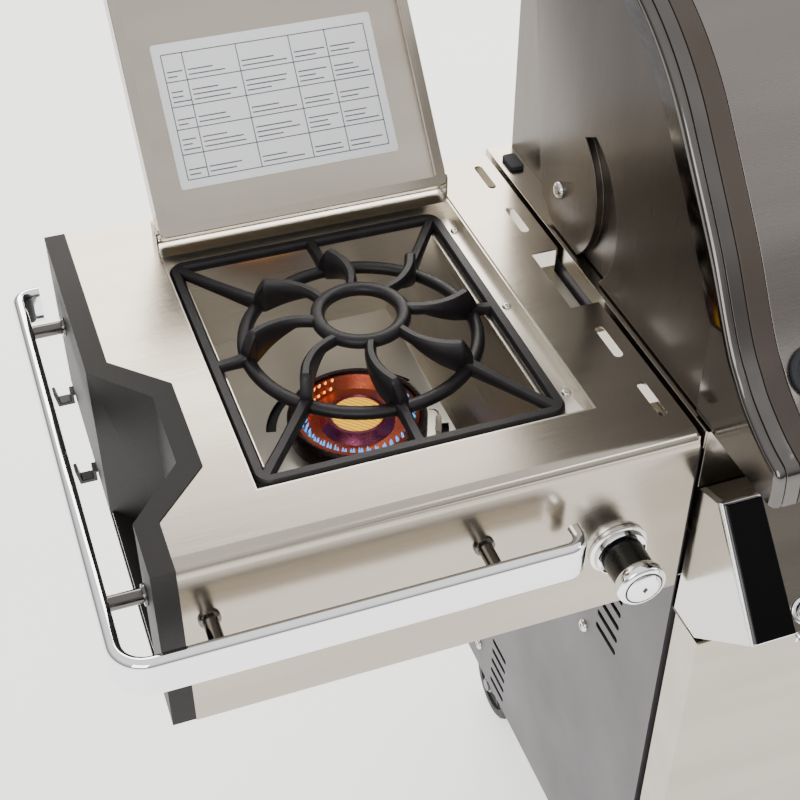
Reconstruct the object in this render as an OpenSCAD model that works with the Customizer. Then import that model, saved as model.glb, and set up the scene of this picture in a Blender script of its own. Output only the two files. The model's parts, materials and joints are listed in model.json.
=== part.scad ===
// Free-standing gas barbecue grill: cabinet on casters, roll-back hood, and two side
// shelves, the left one with a built-in side burner under a hinged lid.
// Design frame: X centred on the cabinet, Y = 0 on the shelf fascias and growing to
// the back, Z = 0 on the shelf tops. placed() moves it to the floor frame.

/* [Cabinet] */
// Width over the side panels' lips
body_w = 782; // [760:1:900]
// Cabinet depth, from the fascia plane to the back panel
body_d = 441.5; // [435:0.5:450]
// Height of the shelf tops above the floor
shelf_h = 860; // [850:1:900]
// Drop from the shelf tops to the cabinet's underside
cabinet_drop = 730; // [720:1:740]

/* [Side shelves] */
// Width of one shelf
shelf_w = 430; // [425:1:460]
// Depth of one shelf
shelf_d = 434; // [430:1:440]
// Height of the front fascia
fascia_h = 169; // [160:1:175]
// Gap between a shelf and the cabinet
shelf_gap = 3; // [2:0.5:5]

/* [Hood] */
// Height of the hood pivot above the shelf tops
pivot_z = 46; // [45:0.5:48]
// Distance of the hood pivot behind the fascia plane
pivot_y = 288; // [285:1:290]
// Radius of the hood's crown about its pivot
hood_r = 253; // [252:0.5:256]

/* [Side burner] */
// Width of the opening in the shelf
opening_w = 275.5; // [270:0.5:280]
// Angle that the open lid leans back beyond upright
lid_lean = 40; // [30:1:42]

/* [Controls] */
// Number of main burners and main knobs
burner_count = 4; // [3:1:4]
// Distance between main burners
burner_pitch = 150; // [140:1:155]

/* [Casters] */
// Radius of a caster wheel
wheel_r = 50; // [45:1:50]
// Distance of the wheel's axle behind its swivel
trail = 28; // [24:1:32]

/* [Hidden] */
$fn = 48;

// Origin: middle of the part's box in Y at rest, from the foremost knob to the open lid
centre_y = 247.69;

// Sheet metal
t = 1.5;
half_w = body_w / 2;
panel_x = half_w - 3;
floor_z = -cabinet_drop;

// Left shelf: its own X starts at its outer end face
shelf_x = -(half_w + shelf_gap + shelf_w);
bend_r = 12;
opening_x0 = 92.5;
opening_x1 = opening_x0 + opening_w;
opening_y0 = 57;
opening_y1 = 396;
slot_x = 414;
slot_r = 4;
slot_len = 42;
slot_pitch = 77;
slot_front_y = 52;
slot_rear_y = 320;
cutout = [404, 181, 430, 265.5];
cap_w = 18.5;
cap_notch = [[0, 53], [44, 105], [44, 185], [0, 232]];
cap_inner = [[cap_w, -3], [cap_w, 49], [62, 96], [62, 197], [cap_w, 240], [cap_w, shelf_d + 2]];
end_drop = 165;

// Rails round the shelves' outer corner
rail_off = 34;
rail_t = 12;
rail_tall = 36;
rail_wall = 1.5;
rail_z = -62;
rail_corner_r = 24;
rail_hook_r = 13;
rail_back_y = 424;
rail_right_x = 320;
post_r = 6;
post_z = -58;

// Side burner
grate_c = [227, 215];
box_in = [94, 60, 366, 372];
box_floor_z = -112;
ledge_z = -12;
// The well's right wall slopes from its floor to a step under the ledge
slope_foot = 304;
slope_head = 352;
slope_head_z = -20;
grate_box = [95, 66, 352, 366];
ring_low_r = 98;
ring_top_r = 36;
ring_top_z = 20;
burner_c = [223, 217];
hinge_y = 386.7;
hinge_z = 15;
lid_x0 = 95;
lid_x1 = 366;
lid_y0 = 61;
lid_y1 = 394;
lid_top_z = 29;
lid_rim_z = 3;
lid_turn = 90 + lid_lean;
pin_clear = 0.05;

// Side knob on the fascia
side_knob_x = 369;
side_knob_z = -101;

// Hood outline, from the nose to the crown
nose_y = -91;
hood_foot_z = 4;
crown_a0 = 139.5;
crown_a1 = 67.5;
crown_rear = [pivot_y + hood_r * cos(crown_a1), pivot_z + hood_r * sin(crown_a1)];
hood_front = [
    [nose_y, hood_foot_z], [-90, 30], [-84, 36], [-67, 42], [-50, 50], [-33, 60], [-20, 71],
    [-8, 82], [7, 101], [31, 135], [49, 157], [73, 185]
];
trim_w = 21;
rim_w = 18;
trim_x = half_w - 3;
hood_plate_x = trim_x - 3;

// Control panel outline
panel_top = [-27, -48.5];
panel_nose = [-102, -136];
panel_path = [[0, -57], panel_top, panel_nose, [-33, -203], [3, -203]];
slope_v = panel_top - panel_nose;
slope_len = norm(slope_v);
slope_a = atan2(slope_v[1], slope_v[0]);
knob_up = 55;
knob_r = 23;
knob_h = 42;
stem_r = 4;
igniter_x = -335;
igniter_up = 15;
burner_z = -118;

// Doors
door_top = -207;
door_bottom = -722;
door_t = 38;
door_in = 10;
door_pin_r = 4;

// Drip tray
tray_x = 340;
tray_y = 150;
tray_z = -222;

// Casters
caster_x = 345;
caster_ys = [45, 385];
axle_z = -shelf_h + wheel_r;
axle_r = 5;
caster_stem_r = 6;

// ---- helpers ----

// Points of an arc about [cx, cy]
function arc(cx, cy, r, a0, a1, n = 12) =
    [for (i = [0:n]) [cx + r * cos(a0 + (a1 - a0) * i / n), cy + r * sin(a0 + (a1 - a0) * i / n)]];

function unit(v) = v / norm(v);
function left_of(v) = [-v[1], v[0]];

// Point i of a path moved t to the left of its direction of travel
function mitred(path, i, t) =
    let (
        a = i > 0 ? unit(path[i] - path[i - 1]) : unit(path[1] - path[0]),
        b = i < len(path) - 1 ? unit(path[i + 1] - path[i]) : a,
        n = unit(left_of(a) + left_of(b))
    )
    path[i] + n * t / (n * left_of(a));

// Closed outline of a bent sheet t thick along an open path
function sheet(path, t) = concat(path, [for (i = [len(path) - 1:-1:0]) mitred(path, i, t)]);

// Rounded rectangle as points
function round_rect(x0, y0, x1, y1, r, n = 6) = concat(
    arc(x1 - r, y1 - r, r, 0, 90, n), arc(x0 + r, y1 - r, r, 90, 180, n),
    arc(x0 + r, y0 + r, r, 180, 270, n), arc(x1 - r, y0 + r, r, 270, 360, n)
);

module placed() {
    translate([0, -centre_y, shelf_h]) children();
}

module both_sides() {
    children();
    mirror([1, 0, 0]) children();
}

// Children drawn in the left shelf's own X
module on_shelf() {
    translate([shelf_x, 0, 0]) children();
}

module box(x0, x1, y0, y1, z0, z1) {
    translate([x0, y0, z0]) cube([x1 - x0, y1 - y0, z1 - z0]);
}

// A (Y, Z) outline extruded from x0 to x1
module prism_x(x0, x1) {
    translate([x0, 0, 0]) rotate([90, 0, 90]) linear_extrude(x1 - x0) children();
}

// An (X, Z) outline extruded from y0 to y1
module prism_y(y0, y1) {
    translate([0, y1, 0]) rotate([90, 0, 0]) linear_extrude(y1 - y0) children();
}

// Cylinder between two points
module rod(a, b, r) {
    v = b - a;
    translate(a)
        rotate([0, acos(v[2] / norm(v)), atan2(v[1], v[0])])
            cylinder(h = norm(v), r = r);
}

// Cylinders along the axes
module rod_x(x0, x1, y, z, r) {
    translate([x0, y, z]) rotate([0, 90, 0]) cylinder(h = x1 - x0, r = r);
}

module rod_y(y0, y1, x, z, r) {
    translate([x, y0, z]) rotate([-90, 0, 0]) cylinder(h = y1 - y0, r = r);
}

module rod_z(z0, z1, x, y, r) {
    translate([x, y, z0]) cylinder(h = z1 - z0, r = r);
}

// Frame on the control panel's slope: Y up the slope from its nose, Z out of it
module on_slope() {
    translate([0, panel_nose[0], panel_nose[1]]) rotate([slope_a, 0, 0]) children();
}

// Slot with round ends, along Y
module slot_y(x, y, z0, z1) {
    half = slot_len / 2 - slot_r;
    box(x - slot_r, x + slot_r, y - half, y + half, z0, z1);
    rod_z(z0, z1, x, y - half, slot_r);
    rod_z(z0, z1, x, y + half, slot_r);
}

// X of each main burner
function burner_x(i) = (i - (burner_count - 1) / 2) * burner_pitch;

// ---- cabinet ----

module caster_at(i) {
    side = i % 2 == 0 ? -1 : 1;
    translate([side * caster_x, caster_ys[floor(i / 2)], 0]) children();
}

module base_panel() {
    cylinder_hole_r = 112;
    color([0.22, 0.21, 0.21]) placed() difference() {
        union() {
            box(-panel_x + 1, panel_x - 1, 6, body_d - t, floor_z, floor_z + 2);
            for (i = [0:3]) caster_at(i) rod_z(floor_z - 8, floor_z + 1, 0, 0, 16);
        }
        rod_z(floor_z - 1, floor_z + 3, 170, 215, cylinder_hole_r);
        for (i = [0:3]) caster_at(i) rod_z(floor_z - 9, floor_z + 3, 0, 0, caster_stem_r + pin_clear);
    }
}

// Slanted-end vent slots in a side panel, upper group at the front, lower at the back
module vent_slots(x0, x1) {
    for (i = [0:5]) prism_x(x0, x1) polygon(round_rect(80, -357 + 18 * i, 122, -350 + 18 * i, 3, 3));
    for (i = [0:4]) prism_x(x0, x1) polygon(round_rect(312, -642 - 18 * i, 352, -635 - 18 * i, 3, 3));
}

module side_panels() {
    color([0.56, 0.54, 0.55]) placed() both_sides() difference() {
        union() {
            box(-panel_x - t, -panel_x, 6, body_d, floor_z + 2, 0.4);
            box(-panel_x, -panel_x + 14, body_d - 3.2, body_d - t, floor_z + 2, -30);
        }
        vent_slots(-panel_x - 3, -panel_x + 1);
        rod_x(-panel_x - 3, -panel_x + 3, 40, -128, 6);
        for (y = [50, 390]) rod_x(-panel_x - 3, -panel_x + 3, y, -42, 5.2);
        for (y = [144, 390]) rod_x(-panel_x - 3, -panel_x + 3, y, y == 144 ? -382 : -690, 3.2);
    }
}

module back_panel() {
    color([0.52, 0.51, 0.50]) placed() difference() {
        box(-panel_x, panel_x, body_d - t, body_d, floor_z + 2, 0.4);
        box(-tray_x - 4, tray_x + 4, body_d - 5, body_d + 5, tray_z - 3, -186);
        prism_y(body_d - 5, body_d + 5) polygon(round_rect(-250, -560, 250, -300, 20));
    }
}

module front_frame() {
    inner_x = panel_x - 16;
    color([0.45, 0.44, 0.43]) placed() {
        difference() {
            box(-panel_x, panel_x, 6, 22, floor_z + 2, -204);
            box(-inner_x, inner_x, 0, 30, floor_z + 14, -216);
        }
        both_sides() {
            box(-panel_x, -panel_x + 20, -20, 6, -206, -203.4);
            box(-panel_x, -panel_x + 20, -20, 6, floor_z + 2, door_bottom - 2);
        }
    }
}

module firebox() {
    wall_x = 358;
    front_y = 14;
    back_y = 436;
    shoulder_z = -140;
    throat_z = -185;
    throat = [190, 260];
    profile = [[front_y, 0.5], [front_y, shoulder_z], [throat[0], throat_z]];
    color([0.20, 0.20, 0.20]) placed() difference() {
        union() {
            prism_x(-wall_x, wall_x) polygon(sheet(profile, 3));
            prism_x(-wall_x, wall_x)
                polygon(sheet([[throat[1], throat_z], [back_y, shoulder_z], [back_y, 0.5]], 3));
            both_sides() {
                prism_x(-wall_x, -wall_x + 3) polygon([
                    [front_y, 0.5], [front_y, shoulder_z], [throat[0], throat_z],
                    [throat[1], throat_z], [back_y, shoulder_z], [back_y, 0.5]
                ]);
                box(-wall_x, -wall_x + 2, tray_y, back_y, tray_z - 2.5, shoulder_z);
                box(-wall_x, -tray_x + 8, tray_y, back_y, tray_z - 2.5, tray_z - 1);
            }
            for (z = [-90, -22]) {
                box(-wall_x, wall_x, front_y, front_y + 16, z, z + 2);
                box(-wall_x, wall_x, back_y - 16, back_y, z, z + 2);
            }
        }
        for (i = [0:burner_count - 1]) rod_y(front_y - 5, front_y + 5, burner_x(i), burner_z, 13);
    }
}

// Top frame round the firebox, with the shoulder strips beside the hood
module shoulder_frame() {
    color([0.75, 0.73, 0.70]) placed() {
        difference() {
            box(-half_w, half_w, 0, body_d, 0.5, 2);
            box(-354, 354, 18, 432, 0, 3);
        }
        box(-half_w + 2, half_w - 2, 0, t, -56, 0.5);
        both_sides() {
            box(-half_w, -half_w + t, 0, body_d, -14, 0.5);
            box(-half_w, -half_w + t, 0, body_d, 2, 3.5);
        }
    }
}

// Fixed shell behind the hood; the hood rolls back over it
module rear_shell() {
    shell_r = hood_r - 7;
    end_x = 364;
    wall_y = 440;
    shell_a1 = acos((wall_y - pivot_y) / shell_r);
    crown = arc(pivot_y, pivot_z, shell_r, 75, shell_a1, 4);
    color([0.36, 0.34, 0.32]) placed() {
        prism_x(-end_x, end_x) polygon(sheet(concat(crown, [[wall_y, 2]]), -2));
        both_sides() prism_x(-end_x, -end_x + 2)
            polygon(concat(crown, [[wall_y, 2], [322, 2]]));
    }
}

module hood_pivot_ears() {
    ear_x = 372;
    color([0.45, 0.44, 0.43]) placed() both_sides() difference() {
        union() {
            rod_x(-ear_x, -ear_x + 5, pivot_y, pivot_z, 18);
            box(-ear_x, -ear_x + 5, pivot_y - 18, pivot_y + 18, 2, pivot_z);
        }
        rod_x(-ear_x - 1, -ear_x + 7, pivot_y, pivot_z, 6.1);
    }
}

// Tube burners with a row of ports along each side
module main_burners() {
    color([0.50, 0.49, 0.48]) placed() for (i = [0:burner_count - 1]) difference() {
        union() {
            rod_y(-8, 424, burner_x(i), burner_z, 12.4);
            rod_y(19, 60, burner_x(i), burner_z, 16);
        }
        rod_y(-9, 410, burner_x(i), burner_z, 10.8);
        for (k = [0:11]) rod_x(
            burner_x(i) - 20, burner_x(i) + 20, 90 + 28 * k, burner_z + 3, 2
        );
    }
}

module sear_plates() {
    wing = 46;
    rise = 26;
    foot_z = -88;
    color([0.40, 0.38, 0.36]) placed() for (i = [0:burner_count - 1])
        translate([burner_x(i), 0, 0]) prism_y(19, 431)
            polygon(sheet([[wing, foot_z + 1.85], [0, foot_z + rise], [-wing, foot_z + 1.85]], 2));
}

module cooking_grids() {
    grid_w = 232;
    bars = 16;
    bar_w = 7;
    pitch = (grid_w - bar_w) / (bars - 1);
    color([0.16, 0.15, 0.15]) placed() for (g = [-1:1]) translate([g * (grid_w + 3) - grid_w / 2, 0, 0]) {
        for (i = [0:bars - 1]) box(i * pitch, i * pitch + bar_w, 19, 431, -16, -6);
        for (y = [19, 220, 423]) box(0, grid_w, y, y + 8, -20, -14);
    }
}

module warming_rack() {
    rack_x = 330;
    rack_z = 118;
    wires = 28;
    color([0.62, 0.61, 0.59]) placed() {
        for (y = [270, 330, 390]) box(-rack_x, rack_x, y, y + 4, rack_z, rack_z + 4);
        for (i = [0:wires - 1]) {
            x = -rack_x + i * (2 * rack_x - 3) / (wires - 1);
            box(x, x + 3, 266, 398, rack_z + 3, rack_z + 6);
        }
        both_sides() for (y = [290, 380])
            box(-rack_x, -rack_x + 4, y, y + 4, -2, rack_z + 1);
        both_sides() box(-354.9, -rack_x + 4, 286, 392, -2, 0.5);
    }
}

// Manifold, valves and their stems, the side burner's branch and the gas inlet
module gas_manifold() {
    run = [-22.6, -128];
    inlet = [220, 60, -330];
    side_x = shelf_x + side_knob_x;
    color([0.72, 0.60, 0.32]) placed() {
        rod_x(-372, 300, run[0], run[1], 9);
        for (i = [0:burner_count - 1]) translate([burner_x(i), 0, 0]) on_slope() translate([0, knob_up, 0]) {
            rod_z(-50, -12, 0, 0, 13);
            rod_z(-13, 22, 0, 0, stem_r);
        }
        rod([-372, run[0], run[1]], [-372, 40, run[1]], 4);
        rod([-372, 40, run[1]], [side_x, 40, run[1]], 4);
        rod([side_x, 40, run[1]], [side_x, 40, side_knob_z], 4);
        rod_y(12, 40, side_x, side_knob_z, 12);
        rod_y(-22, 13, side_x, side_knob_z, stem_r);
        rod([300, run[0], run[1]], [300, run[0], -190], 6);
        rod([300, run[0], -190], [300, inlet[1], -190], 6);
        rod([300, inlet[1], -190], [300, inlet[1], inlet[2]], 6);
        rod([300, inlet[1], inlet[2]], inlet, 6);
        rod_y(inlet[1] - 8, inlet[1] + 62, inlet[0], inlet[2], 8);
        rod_y(inlet[1] + 26, inlet[1] + 36, inlet[0], inlet[2], 14);
    }
}

module control_panel() {
    end_x = panel_x - 6;
    color([0.62, 0.60, 0.57]) placed() difference() {
        prism_x(-end_x, end_x) polygon(sheet(panel_path, 2));
        for (i = [0:burner_count - 1]) translate([burner_x(i), 0, 0])
            on_slope() rod_z(-5, 5, 0, knob_up, stem_r + 1);
        translate([igniter_x, 0, 0]) on_slope() rod_z(-5, 5, 0, igniter_up, 7);
    }
}

// Tapered outline of a panel end on the slope, inset by m all round
function panel_end_outline(m) = [
    [-panel_x + m, m], [-panel_x + 36.5 - m, m],
    [-panel_x + 25 - m, slope_len - m], [-panel_x + m, slope_len - m]
];

module panel_ends() {
    color([0.80, 0.80, 0.80]) placed() both_sides() {
        prism_x(-panel_x, -panel_x + 5.9) polygon(panel_path);
        on_slope() linear_extrude(4) polygon(panel_end_outline(0));
    }
}

module panel_insets() {
    color([0.08, 0.08, 0.09]) placed() both_sides()
        on_slope() translate([0, 0, 4]) linear_extrude(4) polygon(panel_end_outline(2));
}

// A bezel ring standing on z = 0
module bezel(r, h, bore) {
    difference() {
        union() {
            cylinder(h = h * 0.45, r = r);
            cylinder(h = h, r = r - 2.5);
        }
        translate([0, 0, -1]) cylinder(h = h + 2, r = bore);
        translate([0, 0, h * 0.5]) cylinder(h = h, r = r - 4.5);
    }
}

module knob_bezels() {
    color([0.78, 0.78, 0.77]) placed() {
        for (i = [0:burner_count - 1]) translate([burner_x(i), 0, 0])
            on_slope() translate([0, knob_up, 0]) bezel(knob_r + 6, 9, 5);
        translate([igniter_x, 0, 0]) on_slope() translate([0, igniter_up, 0]) bezel(11, 5, 5.6);
        on_shelf() translate([side_knob_x, 0, side_knob_z]) rotate([90, 0, 0]) bezel(25, 9, 5);
    }
}

module hood_bumpers() {
    color([0.10, 0.12, 0.15]) placed() both_sides()
        translate([0, 0, 2]) linear_extrude(4.5) polygon(round_rect(-384, 394, -370, 420, 4));
}

// ---- shelves ----

shelf_profile = concat(
    [[shelf_d - 0.01, -60], [shelf_d - 0.01, 0]], arc(bend_r, -bend_r, bend_r, 90, 180, 8),
    [[0, -fascia_h], [20, -fascia_h]]
);

module shelf_sheet() {
    difference() {
        union() {
            prism_x(cap_w, shelf_w) polygon(sheet(shelf_profile, t));
            box(shelf_w - t, shelf_w, t, shelf_d - t, -end_drop, -t);
        }
        linear_extrude(60, center = true)
            polygon(concat([[-5, -5]], cap_inner, [[-5, shelf_d + 5]]));
        for (y = [slot_front_y, slot_front_y + slot_pitch, slot_rear_y, slot_rear_y + slot_pitch])
            slot_y(slot_x, y, -10, 5);
        box(cutout[0], cutout[2] + 1, cutout[1], cutout[3], -30, 5);
        for (x = [38, 252]) rod_y(-5, 5, x, post_z, 3.2);
        for (y = [50, 390]) rod_x(shelf_w - 5, shelf_w + 5, y, -42, 5.2);
    }
}

module shelf_left() {
    color([0.80, 0.78, 0.75]) placed() on_shelf() difference() {
        shelf_sheet();
        box(opening_x0, opening_x1, opening_y0, opening_y1, -20, 5);
        rod_y(-5, 5, side_knob_x, side_knob_z, stem_r + 1);
        rod_x(shelf_w - 5, shelf_w + 5, 40, -128, 6);
    }
}

module shelf_right() {
    color([0.80, 0.78, 0.75]) placed() mirror([1, 0, 0]) on_shelf() shelf_sheet();
}

// Moulded end cap: top strip round the notch, front face, and the pocket of the notch
module shelf_cap() {
    outer = concat([[0, -2]], cap_notch, [[0, shelf_d + 1]]);
    rim = concat([[cap_w, -2]], [for (i = [1:4]) cap_inner[i]], [[cap_w, shelf_d + 1]]);
    reverse_rim = [for (i = [len(rim) - 1:-1:0]) rim[i]];
    band = [for (i = [0:3]) mitred(cap_notch, i, -3)];
    translate([0, 0, -3]) linear_extrude(4) polygon(concat(outer, reverse_rim));
    translate([0, 0, -end_drop + 8]) linear_extrude(end_drop - 11)
        polygon(concat(cap_notch, [for (i = [3:-1:0]) band[i]]));
    translate([0, 0, -end_drop + 8]) linear_extrude(3) polygon([
        [t, cap_notch[0][1] + 2], cap_notch[1], cap_notch[2], [t, cap_notch[3][1] - 2]
    ]);
    box(0, cap_w, -2, -0.05, -end_drop, -3);
    box(t, cap_w - 0.1, shelf_d - 2, shelf_d + 1, -end_drop, -3);
}

module shelf_caps() {
    color([0.24, 0.22, 0.22]) placed() both_sides() on_shelf() shelf_cap();
}

module shelf_end_plates() {
    color([0.72, 0.69, 0.69]) placed() both_sides() on_shelf() difference() {
        box(0, t, 0, shelf_d - 2, -end_drop, -3);
        box(-1, t + 1, cap_notch[0][1] - 2.5, cap_notch[3][1] + 2.5, -end_drop + 7, 0);
        for (y = [38, 377]) rod_x(-1, t + 1, y, post_z, 3.2);
    }
}

// Flattened tube section of the rails
module rail_section(t, tall) {
    square([t, tall - t], center = true);
    for (s = [-1, 1]) translate([0, s * (tall - t) / 2]) circle(r = t / 2);
}

module rail_tube_section() {
    difference() {
        rail_section(rail_t, rail_tall);
        rail_section(rail_t - 2 * rail_wall, rail_tall - 2 * rail_wall);
    }
}

// Quarter bend of the rail about a vertical axis, from angle a
module rail_bend(x, y, r, a) {
    translate([x, y, rail_z]) rotate([0, 0, a])
        rotate_extrude(angle = 90) translate([r, 0]) rail_tube_section();
}

module shelf_rail() {
    side_y0 = -rail_off + rail_corner_r;
    side_y1 = rail_back_y - rail_hook_r;
    front_x1 = rail_right_x - rail_hook_r;
    translate([-rail_off, side_y1, rail_z]) rotate([90, 0, 0])
        linear_extrude(side_y1 - side_y0) rail_tube_section();
    translate([-rail_off + rail_corner_r, -rail_off, rail_z]) rotate([90, 0, 90])
        linear_extrude(front_x1 + rail_off - rail_corner_r) rail_tube_section();
    rail_bend(-rail_off + rail_corner_r, -rail_off + rail_corner_r, rail_corner_r, 180);
    rail_bend(-rail_off + rail_hook_r, side_y1, rail_hook_r, 90);
    rail_bend(front_x1, -rail_off + rail_hook_r, rail_hook_r, 270);
    translate([-rail_off + rail_hook_r, rail_back_y, rail_z]) rotate([90, 0, 90])
        linear_extrude(7) rail_tube_section();
    translate([rail_right_x, -rail_off + rail_hook_r, rail_z]) rotate([90, 0, 180])
        linear_extrude(7) rail_tube_section();
}

module shelf_rails() {
    color([0.85, 0.85, 0.86]) placed() both_sides() on_shelf() shelf_rail();
}

module rail_posts() {
    gap = rail_off - rail_t / 2;
    color([0.75, 0.75, 0.75]) placed() both_sides() on_shelf() {
        for (y = [38, 377]) {
            rod_x(-gap, 0, y, post_z, post_r);
            rod_x(-1, 6, y, post_z, 3);
        }
        for (x = [38, 252]) {
            rod_y(-gap, 0, x, post_z, post_r);
            rod_y(-1, 6, x, post_z, 3);
        }
    }
}

// J hooks under the shelf ends
module tool_hooks() {
    hook = [[4, 0], [4, -3], [-1, -3], [-1, -13], [-17, -13], [-20, 3], [-17, 3.5], [-14.5, -9], [-4, -9], [-4, 0]];
    color([0.12, 0.11, 0.11]) placed() both_sides() on_shelf() for (y = [298, 412])
        translate([0, y, -end_drop]) prism_y(0, 12) polygon(hook);
}

// Angles that carry a shelf off the cabinet, and the plate under its cut-out
module shelf_brackets() {
    wall = shelf_w - t;
    color([0.70, 0.68, 0.65]) placed() both_sides() on_shelf() {
        for (y = [50, 390]) difference() {
            union() {
                box(wall - 3, wall, y - 18, y + 18, -64, -20);
                box(wall - 50, wall, y - 18, y + 18, -23, -20);
                rod_x(shelf_w, shelf_w + shelf_gap + 3 - t, y, -42, 9);
            }
            rod_x(wall - 10, wall + 20, y, -42, 5.2);
        }
        difference() {
            box(384, wall, 172, 274, -26, -24);
            rod_z(-30, -20, 412, 210, 4);
        }
    }
}

// ---- side burner ----

module burner_box() {
    x0 = box_in[0];
    y0 = box_in[1];
    x1 = box_in[2];
    y1 = box_in[3];
    color([0.78, 0.76, 0.73]) placed() on_shelf() difference() {
        union() {
            prism_y(y0 - 1.2, y1 + 1.2) polygon([
                [x0 - 1.2, -t], [x0 - 1.2, box_floor_z - 1.2], [slope_foot + 0.7, box_floor_z - 1.2],
                [slope_head + 0.7, slope_head_z - 1.2], [x1 + 1.2, slope_head_z - 1.2], [x1 + 1.2, -t]
            ]);
            box(x0 - 8, x1 + 8, y0 - 8, opening_y1 + 8, -3, -t);
        }
        difference() {
            prism_y(y0, y1) polygon([
                [x0, 1], [x0, box_floor_z], [slope_foot, box_floor_z],
                [slope_head, slope_head_z], [x1, slope_head_z], [x1, 1]
            ]);
            difference() {
                box(x0 - 1, x1 + 1, y0 - 1, y1 + 1, ledge_z - 1.5, ledge_z);
                box(108, 338, 78, 356, -40, 0);
            }
        }
        for (i = [0:2]) rod_z(ledge_z - 5, ledge_z + 3, 360, 94 + 122 * i, 2.2);
        translate([burner_c[0], burner_c[1], box_floor_z - 2]) {
            cylinder(h = 5, r = 30);
            for (a = [35, 125, 215, 305]) rotate([0, 0, a]) rotate_extrude(angle = 40)
                translate([72, 0]) square([9, 5]);
        }
        rod_z(box_floor_z - 5, box_floor_z + 5, 290, 192, 3.2);
    }
}

// Outer ring of the side burner
module burner_bowl() {
    color([0.25, 0.23, 0.22]) placed() on_shelf() translate([burner_c[0], burner_c[1], box_floor_z])
        rotate_extrude() polygon([[50, 0], [62, 0], [62, 17], [58, 20], [55, 17], [50, 5]]);
}

// Port ring, its gas cup and the venturi tube that feeds it
module burner_core() {
    venturi_x = shelf_x + side_knob_x;
    venturi_y = 51;
    tube_z = -140;
    centre = [shelf_x + burner_c[0], burner_c[1]];
    color([0.72, 0.38, 0.24]) placed() {
        translate([centre[0], centre[1], box_floor_z]) rotate_extrude() polygon([
            [0, -22], [29.5, -22], [29.5, 0], [50, 0], [50, 5], [54.8, 17], [52, 18],
            [44, 8], [30, 8], [27, 16], [23, 16], [23, -20], [0, -20]
        ]);
        rod([venturi_x, venturi_y, side_knob_z], [venturi_x, venturi_y, tube_z - 3], 6.5);
        rod([venturi_x, venturi_y, tube_z], [centre[0], centre[1], tube_z], 7.5);
        rod([centre[0], centre[1], tube_z - 9], [centre[0], centre[1], box_floor_z - 21], 12);
    }
}

module burner_ceramic() {
    color([0.95, 0.75, 0.25]) placed() on_shelf()
        translate([burner_c[0], burner_c[1], box_floor_z]) cylinder(h = 17, r = 22.9);
}

module igniter_electrode() {
    color([0.85, 0.83, 0.78]) placed() on_shelf() {
        rod_z(box_floor_z - 10, box_floor_z + 16, 290, 192, 3);
        rod([290, 192, box_floor_z + 14], [283, 196, box_floor_z + 22], 1);
    }
}

module side_grate() {
    x0 = grate_box[0];
    y0 = grate_box[1];
    x1 = grate_box[2];
    y1 = grate_box[3];
    bar = 11;
    foot = ledge_z + 0.1;
    top = -4;
    color([0.10, 0.09, 0.10]) placed() on_shelf() {
        difference() {
            translate([0, 0, foot]) linear_extrude(top - foot) polygon(round_rect(x0, y0, x1, y1, 8));
            translate([0, 0, foot - 1]) linear_extrude(20)
                polygon(round_rect(x0 + bar, y0 + bar, x1 - bar, y1 - bar, 6));
        }
        translate([grate_c[0], grate_c[1], 0]) {
            difference() {
                rod_z(foot + 0.3, top - 0.3, 0, 0, ring_low_r + 5);
                rod_z(foot - 1, top + 1, 0, 0, ring_low_r - 5);
            }
            difference() {
                rod_z(ring_top_z - 7, ring_top_z, 0, 0, ring_top_r + 5);
                rod_z(ring_top_z - 8, ring_top_z + 1, 0, 0, ring_top_r - 5);
            }
            for (a = [0:45:315]) rotate([0, 0, a]) grate_blade(foot);
            for (i = [0:3]) rotate([0, 0, 90 * i]) {
                reach = (i % 2 == 0 ? x1 - x0 : y1 - y0) / 2 - bar - 1;
                box(ring_low_r, reach + 4, -5, 5, foot + 0.6, top - 0.6);
            }
            for (sx = [-1, 1], sy = [-1, 1]) grate_corner(sx, sy, foot, top, bar);
        }
    }
}

// Bar from the lower ring to a corner of the frame
module grate_corner(sx, sy, foot, top, bar) {
    corner = [
        (sx < 0 ? grate_box[0] : grate_box[2]) - sx * bar / 2 - grate_c[0],
        (sy < 0 ? grate_box[1] : grate_box[3]) - sy * bar / 2 - grate_c[1]
    ];
    rotate([0, 0, atan2(corner[1], corner[0])])
        box(ring_low_r, norm(corner) - 2, -4.7, 4.7, foot + 0.9, top - 0.9);
}

// Bowed blade from the lower ring up to the top ring: stations of radius, angle, bottom, top
module grate_blade(foot) {
    stations = [
        [98, 0, foot + 1.3, ring_top_z - 4.5], [86, -4, foot + 3, ring_top_z - 1.2],
        [66, -9, ring_top_z - 18, ring_top_z - 1.4], [52, -9.5, ring_top_z - 8.4, ring_top_z - 1.6],
        [36, -5, ring_top_z - 6.4, ring_top_z - 1.8]
    ];
    for (i = [0:3]) hull() {
        grate_station(stations[i]);
        grate_station(stations[i + 1]);
    }
}

module grate_station(s) {
    rotate([0, 0, s[1]]) translate([s[0], 0, s[2]]) cylinder(h = s[3] - s[2], r = 4.6, $fn = 6);
}

// Lid drawn closed, then turned back about its hinge
module lid_open() {
    translate([0, hinge_y, hinge_z]) rotate([-lid_turn, 0, 0]) translate([0, -hinge_y, -hinge_z])
        children();
}

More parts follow.
